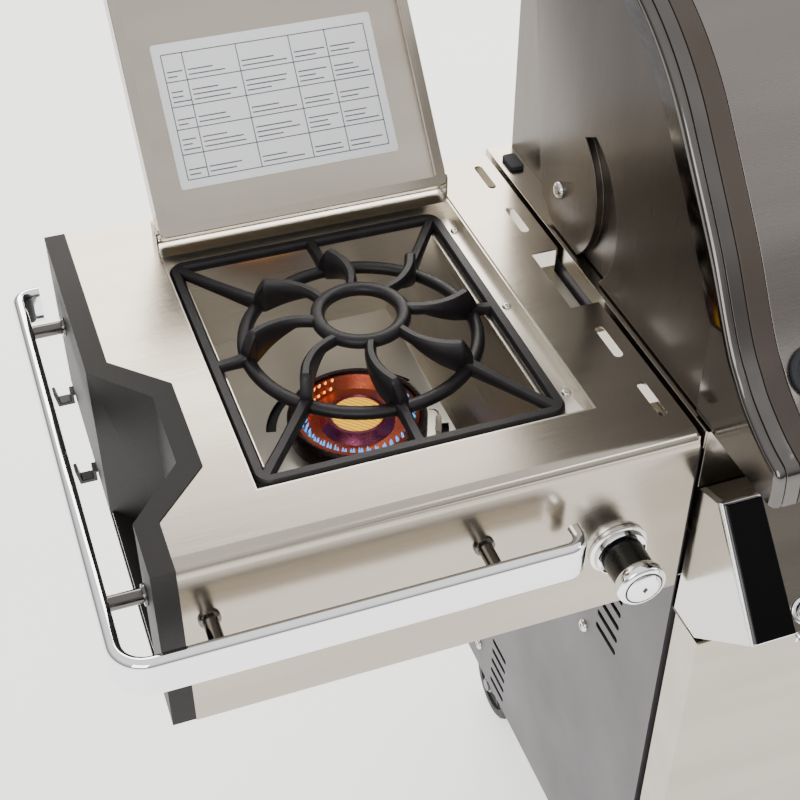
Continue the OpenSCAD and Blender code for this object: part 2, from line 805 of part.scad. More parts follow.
module side_lid() {
    color([0.74, 0.72, 0.69]) placed() on_shelf() lid_open() difference() {
        translate([0, 0, lid_rim_z]) linear_extrude(lid_top_z - lid_rim_z)
            polygon(round_rect(lid_x0, lid_y0, lid_x1, lid_y1, 5, 4));
        translate([0, 0, lid_rim_z - 1]) linear_extrude(lid_top_z - lid_rim_z - 0.2)
            polygon(round_rect(lid_x0 + 1.2, lid_y0 + 1.2, lid_x1 - 1.2, lid_y1 - 1.2, 4, 4));
        rod_x(lid_x0 - 5, lid_x1 + 5, hinge_y, hinge_z, 2.5 + pin_clear);
    }
}

module lid_label() {
    color([0.95, 0.95, 0.95]) placed() on_shelf() lid_open()
        box(126, 334, 220, 352, lid_top_z - 1.5, lid_top_z - 1.2);
}

// ---- hood ----

hood_outline = concat(hood_front, arc(pivot_y, pivot_z, hood_r, crown_a0, crown_a1, 16));
foot_flange = [[-6, 20], [-6, hood_foot_z]];

module hood_skin() {
    half = trim_x - trim_w - rim_w;
    color([0.72, 0.70, 0.66]) placed()
        prism_x(-half, half) polygon(sheet(concat(foot_flange, hood_outline), -2));
}

// Side plate outline: rounded about the pivot, with the rear edge that lands on the bumpers
function hood_side() = concat(
    [for (i = [0:len(hood_outline) - 1]) mitred(hood_outline, i, -3)],
    [[crown_rear[0] - 1, crown_rear[1] - 3]],
    arc(pivot_y, pivot_z, pivot_z - hood_foot_z, 13 - 26, -90, 10)
);

module hood_ends() {
    plate = hood_plate_x;
    rim = trim_x - trim_w;
    color([0.37, 0.34, 0.31]) placed() both_sides() {
        difference() {
            prism_x(-plate, -plate + 3) polygon(hood_side());
            rod_x(-plate - 1, -plate + 5, pivot_y, pivot_z, 6 + pin_clear);
            difference() {
                rod_x(-plate - 1, -plate + 2, 266, 60, 82);
                rod_x(-plate - 2, -plate + 3, 274, 61, 76);
            }
        }
        prism_x(-rim, -rim + rim_w - 0.1) polygon(sheet(hood_outline, -3));
    }
}

// Bright end trims: a band along the edge that widens into the nose
module hood_trims() {
    band = 23;
    inner = [for (i = [len(hood_outline) - 1:-1:8]) mitred(hood_outline, i, -band)];
    color([0.70, 0.69, 0.67]) placed() both_sides() {
        prism_x(-trim_x, -trim_x + 2.9)
            polygon(concat(hood_outline, inner, [[23, 86], [23, hood_foot_z]]));
        prism_x(-trim_x, -trim_x + trim_w - 0.1) polygon(sheet(hood_outline, -2.9));
    }
}

module hood_handle() {
    seat = [-27, 65.5];
    out = [-0.64, 0.77];
    bar = seat + 48 * out;
    half = 337;
    color([0.82, 0.82, 0.82]) placed() {
        rod_x(-half, half, bar[0], bar[1], 11.5);
        both_sides() {
            rod([-half + 12, seat[0], seat[1]] + [0, out[0], out[1]] * 2, [-half + 12, bar[0], bar[1]], 9);
            rod([-half + 12, seat[0], seat[1]] + [0, out[0], out[1]] * 1.2, [-half + 12, seat[0], seat[1]] + [0, out[0], out[1]] * 12, 15);
        }
    }
}

// Frame on the hood's front face at the thermometer: Z out of the hood
module on_dial() {
    translate([0, 40, 146]) rotate([49.4, 0, 0]) translate([0, 0, 0.6]) children();
}

module thermometer_case() {
    color([0.80, 0.80, 0.80]) placed() on_dial() difference() {
        cylinder(h = 12, r = 36);
        translate([0, 0, 5]) cylinder(h = 10, r = 31);
        translate([0, 0, 2]) cylinder(h = 10, r = 1.5 + pin_clear);
    }
}

module thermometer_needle() {
    color([0.75, 0.15, 0.10]) placed() on_dial() rotate([0, 0, 120]) {
        translate([-1, 3.5, 7]) cube([2, 20, 0.8]);
        translate([-2, -12, 7]) cube([4, 9, 0.8]);
        translate([0, 0, 7]) cylinder(h = 1.5, r = 4);
        translate([0, 0, 2.5]) cylinder(h = 5, r = 1.5);
    }
}

// ---- controls ----

// Control knob on its stem, from z = 0 outwards
module knob(r, h) {
    difference() {
        union() {
            translate([0, 0, 5]) cylinder(h = h - 5, r = r - 2.5);
            translate([0, 0, h - 9]) cylinder(h = 6, r = r);
            translate([0, 0, h]) cylinder(h = 1.5, r = r - 7);
        }
        translate([0, 0, -1]) cylinder(h = 24, r = stem_r + pin_clear);
    }
}

module main_knob(i) {
    color([0.12, 0.12, 0.12]) placed() translate([burner_x(i), 0, 0])
        on_slope() translate([0, knob_up, 0]) knob(knob_r, knob_h);
}

module side_knob() {
    color([0.12, 0.12, 0.12]) placed() on_shelf()
        translate([side_knob_x, 0, side_knob_z]) rotate([90, 0, 0]) knob(20.5, 48);
}

module igniter_button() {
    color([0.75, 0.75, 0.75]) placed() translate([igniter_x, 0, 0])
        on_slope() translate([0, igniter_up, 0]) {
            translate([0, 0, -10]) cylinder(h = 18, r = 5.2);
            translate([0, 0, 8]) cylinder(h = 1, r = 4.4);
        }
}

// ---- doors and tray ----

module door() {
    x0 = -panel_x + 1;
    x1 = -2;
    pin_x = x0 + door_in;
    difference() {
        union() {
            difference() {
                box(x0, x1, -door_t, 0, door_bottom, door_top);
                box(x0 + t, x1 - t, -door_t + t, -t, door_bottom + t, door_top - t);
            }
            box(x0, x0 + 20, -20, 0, door_top - 22, door_top);
            box(x0, x0 + 20, -20, 0, door_bottom, door_bottom + 22);
        }
        rod_z(door_top - 18, door_top + 1, pin_x, -door_in, door_pin_r + pin_clear);
        rod_z(door_bottom - 1, door_bottom + 18, pin_x, -door_in, door_pin_r + pin_clear);
    }
}

module door_handle() {
    bar_z = -240;
    bar_y = -door_t - 34;
    rod_x(-296, -60, bar_y, bar_z, 8);
    for (x = [-280, -76]) rod_y(bar_y, -door_t, x, bar_z, 6);
}

module door_left() {
    color([0.70, 0.68, 0.65]) placed() door();
}

module door_right() {
    color([0.70, 0.68, 0.65]) placed() mirror([1, 0, 0]) door();
}

module door_handle_left() {
    color([0.82, 0.82, 0.82]) placed() door_handle();
}

module door_handle_right() {
    color([0.82, 0.82, 0.82]) placed() mirror([1, 0, 0]) door_handle();
}

module drip_tray() {
    back = body_d + 2;
    color([0.55, 0.54, 0.53]) placed() {
        difference() {
            box(-tray_x, tray_x, tray_y, back, tray_z, -189);
            box(-tray_x + t, tray_x - t, tray_y + t, back - t, tray_z + t, -180);
        }
        box(-60, 60, back, back + 22, -197, -195);
        box(-60, 60, back + 20, back + 22, -206, -195);
    }
}

// ---- casters ----

module caster_fork() {
    leg_x = 15;
    crown_top = floor_z - 9;
    rod_z(crown_top - 9, crown_top, 0, 0, 20);
    rod_z(crown_top - 5, floor_z, 0, 0, caster_stem_r);
    both_sides() prism_x(-leg_x - 3, -leg_x)
        polygon(concat([[-14, crown_top - 9], [14, crown_top - 9]], arc(trail, axle_z, 11, 20, -160, 8)));
    rod_x(-leg_x - 1, leg_x + 1, trail, axle_z, axle_r);
    both_sides() rod_x(-leg_x - 6, -leg_x, trail, axle_z, 8);
    both_sides() box(-leg_x - 3, -leg_x, -14, 14, crown_top - 9, crown_top - 2);
}

module caster_wheel() {
    half = 13;
    translate([0, trail, axle_z]) rotate([0, 90, 0]) difference() {
        rotate_extrude() polygon([
            [2, -half], [16, -half], [18, -half + 4], [34, -half + 4], [36, -half], [wheel_r - 4, -half],
            [wheel_r, -half + 5], [wheel_r, half - 5], [wheel_r - 4, half], [36, half],
            [34, half - 4], [18, half - 4], [16, half], [2, half]
        ]);
        cylinder(h = 60, r = axle_r + pin_clear, center = true);
    }
}

// The front pair stands turned inwards, the rear pair trails straight back
function caster_turn(i) = i == 0 ? -90 : i == 1 ? 90 : 0;

module caster(i) {
    color([0.35, 0.35, 0.36]) placed() caster_at(i) rotate([0, 0, caster_turn(i)]) caster_fork();
}

module wheel(i) {
    color([0.10, 0.10, 0.10]) placed() caster_at(i) rotate([0, 0, caster_turn(i)]) caster_wheel();
}

// ---- screws, bolts and pins ----

// Domed screw head with a short shank, from z = 0 outwards
module screw(r, shank_r, shank) {
    cylinder(h = r * 0.5, r = r);
    translate([0, 0, -shank]) cylinder(h = shank + 0.1, r = shank_r);
}

module fasteners() {
    color([0.60, 0.59, 0.58]) placed() {
        both_sides() {
            // hood pivot: a bolt fixed in its ear, with its head outside the hood
            rod_x(-hood_plate_x - 0.5, -hood_plate_x + 20, pivot_y, pivot_z, 6);
            rod_x(-hood_plate_x - 2.8, -hood_plate_x - 0.4, pivot_y, pivot_z, 8);
            // door pins in the frame's brackets
            rod_z(door_top - 16, door_top + 1, -panel_x + 1 + door_in, -door_in, door_pin_r);
            rod_z(door_bottom - 2, door_bottom + 16, -panel_x + 1 + door_in, -door_in, door_pin_r);
            // cabinet screws
            translate([-panel_x - t, 144, -382]) rotate([0, -90, 0]) screw(7, 3, 4);
            translate([-panel_x - t, 390, -690]) rotate([0, -90, 0]) screw(7, 3, 4);
            // shelf bolts across the gap
            for (y = [50, 390]) rod_x(-half_w - shelf_gap - 8, -panel_x + 6, y, -42, 5);
        }
        on_shelf() {
            // lid hinge ears and pins
            for (s = [0, 1]) {
                ear_x = s == 0 ? lid_x0 - 3 : lid_x1 + 1.4;
                box(ear_x, ear_x + 1.6, hinge_y - 6, opening_y1 + 6, 0, hinge_z + 6);
                rod_x(s == 0 ? ear_x : lid_x1 - 4, s == 0 ? lid_x0 + 4 : ear_x + 1.6, hinge_y, hinge_z, 2.5);
            }
            for (i = [0:2]) translate([360, 94 + 122 * i, ledge_z]) screw(4, 2, 4);
            // bolts in the accessory slots
            for (y = [slot_front_y, slot_rear_y + slot_pitch]) translate([slot_x, y - 8, -14]) {
                cylinder(h = 10, r = 3);
                cylinder(h = 3, r = 6);
            }
        }
    }
}

// ---- output ----

base_panel();
side_panels();
back_panel();
front_frame();
firebox();
shoulder_frame();
rear_shell();
hood_pivot_ears();
main_burners();
sear_plates();
cooking_grids();
warming_rack();
gas_manifold();
control_panel();
panel_ends();
panel_insets();
knob_bezels();
hood_bumpers();
shelf_left();
shelf_right();
shelf_caps();
shelf_end_plates();
shelf_rails();
rail_posts();
tool_hooks();
shelf_brackets();
burner_box();
burner_bowl();
burner_core();
burner_ceramic();
igniter_electrode();
fasteners();
hood_skin();
hood_ends();
hood_trims();
hood_handle();
thermometer_case();
thermometer_needle();
side_lid();
lid_label();
side_grate();
main_knob(0);  // knob_1
main_knob(1);  // knob_2
main_knob(2);  // knob_3
main_knob(3);  // knob_4
side_knob();
igniter_button();
door_left();
door_right();
door_handle_left();
door_handle_right();
drip_tray();
caster(0);  // caster_fork_1
caster(1);  // caster_fork_2
caster(2);  // caster_fork_3
caster(3);  // caster_fork_4
wheel(0);  // caster_wheel_1
wheel(1);  // caster_wheel_2
wheel(2);  // caster_wheel_3
wheel(3);  // caster_wheel_4
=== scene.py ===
"""Looks for a gas barbecue grill with a side burner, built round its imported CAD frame.

Sizes are in millimetres from two corners of the frame, CENTRE and LEFT, and become metres
as points are made. Each sub-assembly is a class whose build() makes and dresses its pieces.
"""

import json
import logging
import math
from collections.abc import Callable, Iterable, Sequence
from dataclasses import dataclass
from enum import Enum

import bmesh
import bpy
from mathutils import Matrix, Vector


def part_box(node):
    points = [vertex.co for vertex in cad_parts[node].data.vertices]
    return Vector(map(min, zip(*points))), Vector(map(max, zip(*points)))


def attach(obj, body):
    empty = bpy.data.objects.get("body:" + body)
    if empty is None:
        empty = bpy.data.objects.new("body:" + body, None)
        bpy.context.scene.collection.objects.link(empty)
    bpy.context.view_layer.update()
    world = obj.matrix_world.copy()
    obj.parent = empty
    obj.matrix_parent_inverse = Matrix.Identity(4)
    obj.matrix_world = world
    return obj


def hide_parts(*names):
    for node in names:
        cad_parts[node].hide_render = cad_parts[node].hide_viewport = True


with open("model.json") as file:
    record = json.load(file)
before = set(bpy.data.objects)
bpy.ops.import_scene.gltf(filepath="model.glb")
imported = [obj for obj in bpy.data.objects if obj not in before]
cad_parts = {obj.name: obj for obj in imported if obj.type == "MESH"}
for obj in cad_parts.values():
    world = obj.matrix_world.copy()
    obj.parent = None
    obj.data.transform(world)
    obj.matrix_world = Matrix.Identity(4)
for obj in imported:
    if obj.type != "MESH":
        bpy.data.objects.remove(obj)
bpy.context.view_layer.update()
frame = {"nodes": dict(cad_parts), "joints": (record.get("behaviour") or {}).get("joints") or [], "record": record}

LOG = logging.getLogger("grill")
MM = 0.001
RECORD = frame["record"]
NODES = frame["nodes"]
JOINTS = {joint["name"]: joint for joint in frame["joints"]}
BODY_OF = {node: body for body, nodes in RECORD["behaviour"]["bodies"].items() for node in nodes}

Point2 = tuple[float, float]
Placer = Callable[[float, float, float], Vector]


@dataclass(frozen=True)
class Datum:
    """A corner of the frame, in metres, that sizes in millimetres are set out from."""

    x: float
    y: float
    z: float

    def at(self, x: float, y: float, z: float) -> Vector:
        """The point x, y, z millimetres from this corner, in metres."""
        return Vector((self.x + x * MM, self.y + y * MM, self.z + z * MM))


SHELF_LOW, SHELF_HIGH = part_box("shelf_left")
CENTRE = Datum(0.0, SHELF_LOW.y, SHELF_HIGH.z)
LEFT = Datum(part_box("shelf_end_plates")[0].x, SHELF_LOW.y, SHELF_HIGH.z)


# ---- colour and nodes ----


def linear(hex_colour: str) -> tuple[float, float, float, float]:
    """Turns an sRGB hex colour into linear red, green, blue and a full alpha.

    Args:
        hex_colour: a colour such as "#c8c2b8".

    Returns:
        The four channels Blender's sockets take.
    """
    channels = [int(hex_colour[i : i + 2], 16) / 255 for i in (1, 3, 5)]
    red, green, blue = (
        c / 12.92 if c <= 0.04045 else ((c + 0.055) / 1.055) ** 2.4 for c in channels
    )
    return red, green, blue, 1.0


def add_node(
    tree: bpy.types.NodeTree, kind: str, inputs: dict | None = None, **settings: object
) -> bpy.types.Node:
    """Adds one node with its settings, values and links.

    Args:
        tree: the node tree.
        kind: the node's type name.
        inputs: socket name or index to a value, or to an output socket to link from.
        **settings: properties of the node itself.

    Returns:
        The new node.
    """
    node = tree.nodes.new(kind)
    for key, value in settings.items():
        setattr(node, key, value)
    for key, value in (inputs or {}).items():
        if isinstance(value, bpy.types.NodeSocket):
            tree.links.new(value, node.inputs[key])
        else:
            node.inputs[key].default_value = value
    return node


class Grain(Enum):
    """The direction that a brushed finish's lines run in."""

    X = (1, 0, 0)
    Y = (0, 1, 0)
    Z = (0, 0, 1)
    LEVEL = (1, 1, 0)


# ---- finishes ----


@dataclass(frozen=True)
class Finish:
    """A real finish: its colour and roughness, with detail added by each kind."""

    name: str
    colour: str
    roughness: float

    def detail(self, tree: bpy.types.NodeTree, shader: bpy.types.Node) -> None:
        """Adds the finish's own pattern to the shader."""

    def material(self) -> bpy.types.Material:
        """The finish's material, made once.

        Returns:
            The material, ready to assign.
        """
        made = bpy.data.materials.get(self.name)
        if made:
            return made
        made = bpy.data.materials.new(self.name)
        made.use_nodes = True
        made.node_tree.nodes.clear()
        shader = add_node(
            made.node_tree,
            "ShaderNodeBsdfPrincipled",
            {"Base Color": linear(self.colour), "Roughness": self.roughness},
        )
        add_node(made.node_tree, "ShaderNodeOutputMaterial", {"Surface": shader.outputs[0]})
        self.detail(made.node_tree, shader)
        return made


def pattern(
    tree: bpy.types.NodeTree, spacing_mm: Sequence[float], detail: float = 2.0,
) -> bpy.types.Node:
    """A noise whose lumps have their own length along each axis.

    Args:
        tree: the node tree.
        spacing_mm: size of a lump along X, Y and Z.
        detail: how much finer structure rides on the lumps.

    Returns:
        The noise node, whose first output runs from 0 to 1.
    """
    place = add_node(tree, "ShaderNodeTexCoord")
    spread = add_node(
        tree,
        "ShaderNodeMapping",
        {"Vector": place.outputs["Object"], "Scale": tuple(1 / (s * MM) for s in spacing_mm)},
    )
    return add_node(
        tree,
        "ShaderNodeTexNoise",
        {"Vector": spread.outputs[0], "Scale": 1.0, "Detail": detail, "Roughness": 0.55},
    )


def vary(
    tree: bpy.types.NodeTree, source: bpy.types.Node, low: float, high: float
) -> bpy.types.NodeSocket:
    """Spreads a noise's middle range over low to high.

    Args:
        tree: the node tree.
        source: the noise node.
        low: value at the noise's low end.
        high: value at its high end.

    Returns:
        The socket that carries the new value.
    """
    spread = add_node(
        tree,
        "ShaderNodeMapRange",
        {
            "Value": source.outputs[0], "From Min": 0.3, "From Max": 0.7, "To Min": low,
            "To Max": high,
        },
    )
    return spread.outputs[0]


def tint(
    tree: bpy.types.NodeTree, source: bpy.types.Node, first: str, second: str
) -> bpy.types.NodeSocket:
    """Fades between two colours with a noise.

    Args:
        tree: the node tree.
        source: the noise node.
        first: hex colour at the low end.
        second: hex colour at the high end.

    Returns:
        The socket that carries the colour.
    """
    mix = add_node(
        tree,
        "ShaderNodeMix",
        {0: vary(tree, source, 0.0, 1.0), 6: linear(first), 7: linear(second)},
        data_type="RGBA",
    )
    return mix.outputs[2]


def bump(
    tree: bpy.types.NodeTree, shader: bpy.types.Node, height: bpy.types.NodeSocket, depth_mm: float
) -> None:
    """Raises the surface by a pattern.

    Args:
        tree: the node tree.
        shader: the shader whose normal is bent.
        height: the pattern, from 0 to 1.
        depth_mm: how deep the pattern is.
    """
    lift = add_node(
        tree, "ShaderNodeBump", {"Height": height, "Strength": 1.0, "Distance": depth_mm * MM}
    )
    tree.links.new(lift.outputs[0], shader.inputs["Normal"])


@dataclass(frozen=True)
class BrushedStainless(Finish):
    """Stainless sheet brushed with an abrasive belt: fine parallel lines that draw light out."""

    grain: Grain = Grain.X
    shade: str = "#aca59a"
    line_mm: float = 0.7
    run_mm: float = 70.0
    depth_mm: float = 0.0035

    def detail(self, tree: bpy.types.NodeTree, shader: bpy.types.Node) -> None:
        """Adds the brush lines; they are drawn a little coarse so that they show.

        Args:
            tree: the material's node tree.
            shader: its principled shader.
        """
        spacing = [self.run_mm if along else self.line_mm for along in self.grain.value]
        wide = [self.run_mm * 4 if along else 40.0 for along in self.grain.value]
        lines = pattern(tree, spacing, 3.0)
        bands = pattern(tree, wide, 1.0)
        shader.inputs["Metallic"].default_value = 1.0
        tree.links.new(tint(tree, bands, self.colour, self.shade), shader.inputs["Base Color"])
        tree.links.new(
            vary(tree, lines, self.roughness - 0.03, self.roughness + 0.04),
            shader.inputs["Roughness"],
        )
        bump(tree, shader, lines.outputs[0], self.depth_mm)


@dataclass(frozen=True)
class PolishedChrome(Finish):
    """Plated and polished steel: a clear mirror with faint smears."""

    def detail(self, tree: bpy.types.NodeTree, shader: bpy.types.Node) -> None:
        """Adds smears that dull the mirror here and there.

        Args:
            tree: the material's node tree.
            shader: its principled shader.
        """
        smears = pattern(tree, (14, 14, 14), 4.0)
        shader.inputs["Metallic"].default_value = 1.0
        tree.links.new(
            vary(tree, smears, self.roughness, self.roughness + 0.05), shader.inputs["Roughness"]
        )


@dataclass(frozen=True)
class Moulded(Finish):
    """Moulded plastic or rubber with a pebbled grain pressed in by the tool."""

    shade: str = "#1c1a1a"
    pebble_mm: float = 0.9
    depth_mm: float = 0.05
    sheen_level: float = 0.5

    def detail(self, tree: bpy.types.NodeTree, shader: bpy.types.Node) -> None:
        """Adds the pebbles and a slight fading of the colour.

        Args:
            tree: the material's node tree.
            shader: its principled shader.
        """
        pebbles = pattern(tree, (self.pebble_mm,) * 3, 2.0)
        shader.inputs["Specular IOR Level"].default_value = self.sheen_level
        fade = pattern(tree, (35, 35, 35), 3.0)
        tree.links.new(tint(tree, fade, self.colour, self.shade), shader.inputs["Base Color"])
        tree.links.new(
            vary(tree, pebbles, self.roughness - 0.05, self.roughness + 0.08),
            shader.inputs["Roughness"],
        )
        bump(tree, shader, pebbles.outputs[0], self.depth_mm)


@dataclass(frozen=True)
class CastIron(Finish):
    """Sand-cast iron under matt enamel: soft lumps and fine pits."""

    shade: str = "#3c3638"

    def detail(self, tree: bpy.types.NodeTree, shader: bpy.types.Node) -> None:
        """Adds casting lumps and pits.

        Args:
            tree: the material's node tree.
            shader: its principled shader.
        """
        pits = pattern(tree, (1.1, 1.1, 1.1), 4.0)
        lumps = pattern(tree, (22, 22, 22), 2.0)
        shader.inputs["Specular IOR Level"].default_value = 0.32
        tree.links.new(tint(tree, lumps, self.colour, self.shade), shader.inputs["Base Color"])
        tree.links.new(
            vary(
                tree, pits, self.roughness - 0.08, self.roughness + 0.1,
            ), shader.inputs["Roughness"]
        )
        bump(tree, shader, pits.outputs[0], 0.16)


@dataclass(frozen=True)
class CoatedSteel(Finish):
    """Sheet steel under baked powder: an even colour with faint orange peel."""

    shade: str = "#77736f"
    metallic: float = 0.0

    def detail(self, tree: bpy.types.NodeTree, shader: bpy.types.Node) -> None:
        """Adds the orange peel and the powder's uneven shade.

        Args:
            tree: the material's node tree.
            shader: its principled shader.
        """
        peel = pattern(tree, (1.6, 1.6, 1.6), 2.0)
        cloud = pattern(tree, (120, 120, 120), 3.0)
        shader.inputs["Metallic"].default_value = self.metallic
        tree.links.new(tint(tree, cloud, self.colour, self.shade), shader.inputs["Base Color"])
        tree.links.new(
            vary(tree, cloud, self.roughness - 0.04, self.roughness + 0.05),
            shader.inputs["Roughness"],
        )
        bump(tree, shader, peel.outputs[0], 0.03)


@dataclass(frozen=True)
class HeatTinted(Finish):
    """Bare metal that heat has coloured in soft straw, plum and blue clouds."""

    shade: str = "#5b3340"
    metallic: float = 0.85

    def detail(self, tree: bpy.types.NodeTree, shader: bpy.types.Node) -> None:
        """Adds the tinted clouds and a dry scale.

        Args:
            tree: the material's node tree.
            shader: its principled shader.
        """
        clouds = pattern(tree, (26, 26, 12), 3.0)
        scale = pattern(tree, (1.4, 1.4, 1.4), 4.0)
        shader.inputs["Metallic"].default_value = self.metallic
        tree.links.new(tint(tree, clouds, self.colour, self.shade), shader.inputs["Base Color"])
        tree.links.new(
            vary(
                tree, scale, self.roughness - 0.1, self.roughness + 0.1,
            ), shader.inputs["Roughness"]
        )
        bump(tree, shader, scale.outputs[0], 0.05)


@dataclass(frozen=True)
class HotCeramic(Finish):
    """A grooved infrared tile glowing from the gas that burns in it."""

    glow: float = 0.9
    groove_mm: float = 2.6

    def detail(self, tree: bpy.types.NodeTree, shader: bpy.types.Node) -> None:
        """Adds diagonal grooves that show darker and redder than the tile's ribs.

        Args:
            tree: the material's node tree.
            shader: its principled shader.
        """
        place = add_node(tree, "ShaderNodeTexCoord")
        grooves = add_node(
            tree,
            "ShaderNodeTexWave",
            {
                "Vector": place.outputs["Object"],
                "Scale": 0.314 / (self.groove_mm * MM),
                "Distortion": 0.6,
                "Detail": 1.0,
            },
            bands_direction="DIAGONAL",
        )
        ribs = add_node(
            tree,
            "ShaderNodeMix",
            {0: grooves.outputs[1], 6: linear("#e08a14"), 7: linear("#f7cf3a")},
            data_type="RGBA",
        )
        tree.links.new(ribs.outputs[2], shader.inputs["Base Color"])
        tree.links.new(ribs.outputs[2], shader.inputs["Emission Color"])
        shader.inputs["Emission Strength"].default_value = self.glow


@dataclass(frozen=True)
class Glow(Finish):
    """Burning gas: light with no surface of its own."""

    strength: float = 6.0

    def detail(self, tree: bpy.types.NodeTree, shader: bpy.types.Node) -> None:
        """Makes the shader shine and lets light through between brighter wisps.

        Args:
            tree: the material's node tree.
            shader: its principled shader.
        """
        wisps = pattern(tree, (5, 5, 9), 2.0)
        shader.inputs["Emission Color"].default_value = linear(self.colour)
        shader.inputs["Emission Strength"].default_value = self.strength
        tree.links.new(vary(tree, wisps, 0.35, 0.95), shader.inputs["Alpha"])


@dataclass(frozen=True)
class Backlit(Finish):
    """A translucent studio floor lit from below, so that it stays pale."""

    glow: float = 0.5

    def detail(self, tree: bpy.types.NodeTree, shader: bpy.types.Node) -> None:
        """Adds the even light and a faint cloud in the sheet.

        Args:
            tree: the material's node tree.
            shader: its principled shader.
        """
        cloud = pattern(tree, (400, 400, 400), 2.0)
        tree.links.new(tint(tree, cloud, self.colour, "#f2f1ef"), shader.inputs["Base Color"])
        shader.inputs["Emission Color"].default_value = linear(self.colour)
        shader.inputs["Emission Strength"].default_value = self.glow


# 304 sheet brushed across the grill: pale warm steel that draws light out into soft bands.
STAINLESS_X = BrushedStainless("brushed stainless across", "#b2aa9d", 0.21, Grain.X, "#a9a194")
# The same sheet brushed front to back.
STAINLESS_Y = BrushedStainless("brushed stainless lengthways", "#b5ada0", 0.21, Grain.Y, "#aca497")
# Deep-drawn well brushed level, in a lighter copy of the shelves' stainless: painted light on its walls and floor.
# Lines run round its walls and fade on its floor.
LIT_WELL_STEEL = BrushedStainless(
    "brushed stainless well, painted light", "#dad4c8", 0.3, Grain.LEVEL, "#cdc6ba", 0.9, 90.0, 0.002,
)
# The shelves' brushed stainless in a darker copy behind the knobs: painted shade on the sloped panel, so that the
# knobs' chrome stands out.
SHADED_PANEL_STEEL = BrushedStainless("brushed stainless panel, painted shade", "#7d776e", 0.24, Grain.X, "#756f66")
# Rolled skin with long lines across it, a darker copy of the shelves' stainless: painted shade with a broad dull
# shine over the curve.
SHADED_HOOD_STEEL = BrushedStainless(
    "brushed stainless hood, painted shade", "#817c77", 0.27, Grain.X, "#78736e", 0.8, 60.0, 0.005,
)
# Steel with a bronze tint from heat: dark walls with slow upright streaks.
DARK_STEEL = BrushedStainless(
    "bronzed stainless", "#5f5954", 0.30, Grain.Z, "#58534e", 0.8, 60.0, 0.004,
)
# A dark bronze band along each end of the skin, smoother and flatter than the skin beside it.
BAND_STEEL = CoatedSteel("dark bronze band", "#4b423c", 0.38, "#423a35", 0.55)
# Cast and polished end trim, its colour darkened as a painted dark reflection; the lights keep bright lines on its
# ridges.
DARK_REFLECTION_TRIM_STEEL = BrushedStainless(
    "polished cast trim, painted dark reflection", "#63605e", 0.12, Grain.Z, "#5c5957", 2.0, 40.0, 0.002,
)
# Plated tube and caps: a clear mirror with faint smears.
CHROME = PolishedChrome("polished chrome plate", "#f4f4f6", 0.03)
# Turned screws and pins: a blurred bright metal.
SATIN_CHROME = PolishedChrome("satin chrome plate", "#cfcdc9", 0.16)
# Glass-filled nylon with a fine spark-eroded grain: charcoal, nearly matt.
CAP_PLASTIC = Moulded("charcoal moulded nylon", "#151211", 0.52, "#110e0e", 1.0, 0.05, 0.26)
# Compression-moulded grips: smooth black with a soft edge light.
KNOB_PLASTIC = Moulded("black moulded phenolic", "#0a0909", 0.28, "#0c0b0b", 0.7, 0.006, 0.35)
# Polished black slabs: deep colour and a sharp reflection.
GLOSS_BLACK = Moulded("black glass-filled panel", "#020202", 0.12, "#030303", 3.0, 0.002, 0.12)
# Bumpers and washers: matt blue-black that takes no highlight.
RUBBER = Moulded("moulded rubber", "#23252b", 0.72, "#1b1d21", 1.2, 0.04)
# Caster hubs: plain moulded grey.
HUB_PLASTIC = Moulded("grey moulded hub", "#4a4b4d", 0.45, "#434446", 1.2, 0.02)
# The floor, kept pale from below.
FLOOR_PAPER = Backlit("backlit studio floor", "#f8f7f5", 0.9, 1.25)
# Solid caster tread: matt and a little dusty.
TYRE = Moulded("grey caster rubber", "#1d1d1e", 0.66, "#262627", 1.0, 0.05)
# Side grate under satin enamel: soft lumps and pits break up its edge light.
GRATE_IRON = CastIron("enamelled cast iron", "#131012", 0.4, "#1c181a")
# Cooking grids with baked-on oil: brown-black and drier than enamel.
GRID_IRON = CastIron("seasoned cast iron", "#1f1c1c", 0.5, "#2a2423")
# Metallic powder over the cabinet: a mauve grey with faint orange peel.
CABINET_PAINT = CoatedSteel("silver-mauve powder coat", "#4a4549", 0.4, "#443f43", 0.45)
# Black powder on hooks and shields.
DARK_PAINT = CoatedSteel("black powder coat", "#0f0d0d", 0.5, "#141212")
# Matt stove enamel inside the firebox and hood.
FIREBOX_PAINT = CoatedSteel("heat-resistant enamel", "#252424", 0.62, "#2e2a28")
# Zinc-plated brackets: pale cloudy metal.
ZINC = CoatedSteel("zinc-plated steel", "#b9b7b0", 0.36, "#a5a39b", 0.9)
# Bare burners and tray: steel gone straw from heat.
BURNER_STEEL = HeatTinted("heat-straw stainless", "#a39a8c", 0.38, "#8a7a6b", 0.95)
# The ring round the flames: steel blued dark.
HOT_BOWL = HeatTinted("heat-blued bowl", "#3f3432", 0.3, "#2a2024", 0.9)
# The port ring: red oxide that glows copper in firelight.
HOT_CORE = HeatTinted("heat-reddened port ring", "#a4512f", 0.34, "#8a3528", 0.8)
# The gas cup: oxide between plum and red.
HOT_CUP = HeatTinted("heat-purpled gas cup", "#85405c", 0.3, "#6f2f45", 0.8)
# Turned valves and pipes: yellow metal with a brown film.
BRASS = HeatTinted("machined brass", "#c9a860", 0.3, "#b8935a", 1.0)
# The spark insulator: cream glaze with a wet shine.
PORCELAIN = Moulded("glazed porcelain", "#e9e4da", 0.25, "#ddd6c8", 4.0, 0.01)
# Printed polyester: even white with a low sheen.
LABEL_FILM = Moulded("white label film", "#f6f7fa", 0.35, "#f2f4f8", 2.0, 0.004)
# Dark grey ink, flat.
PRINT_INK = Moulded("grey print ink", "#555a60", 0.5, "#4c5157", 2.0, 0.002)
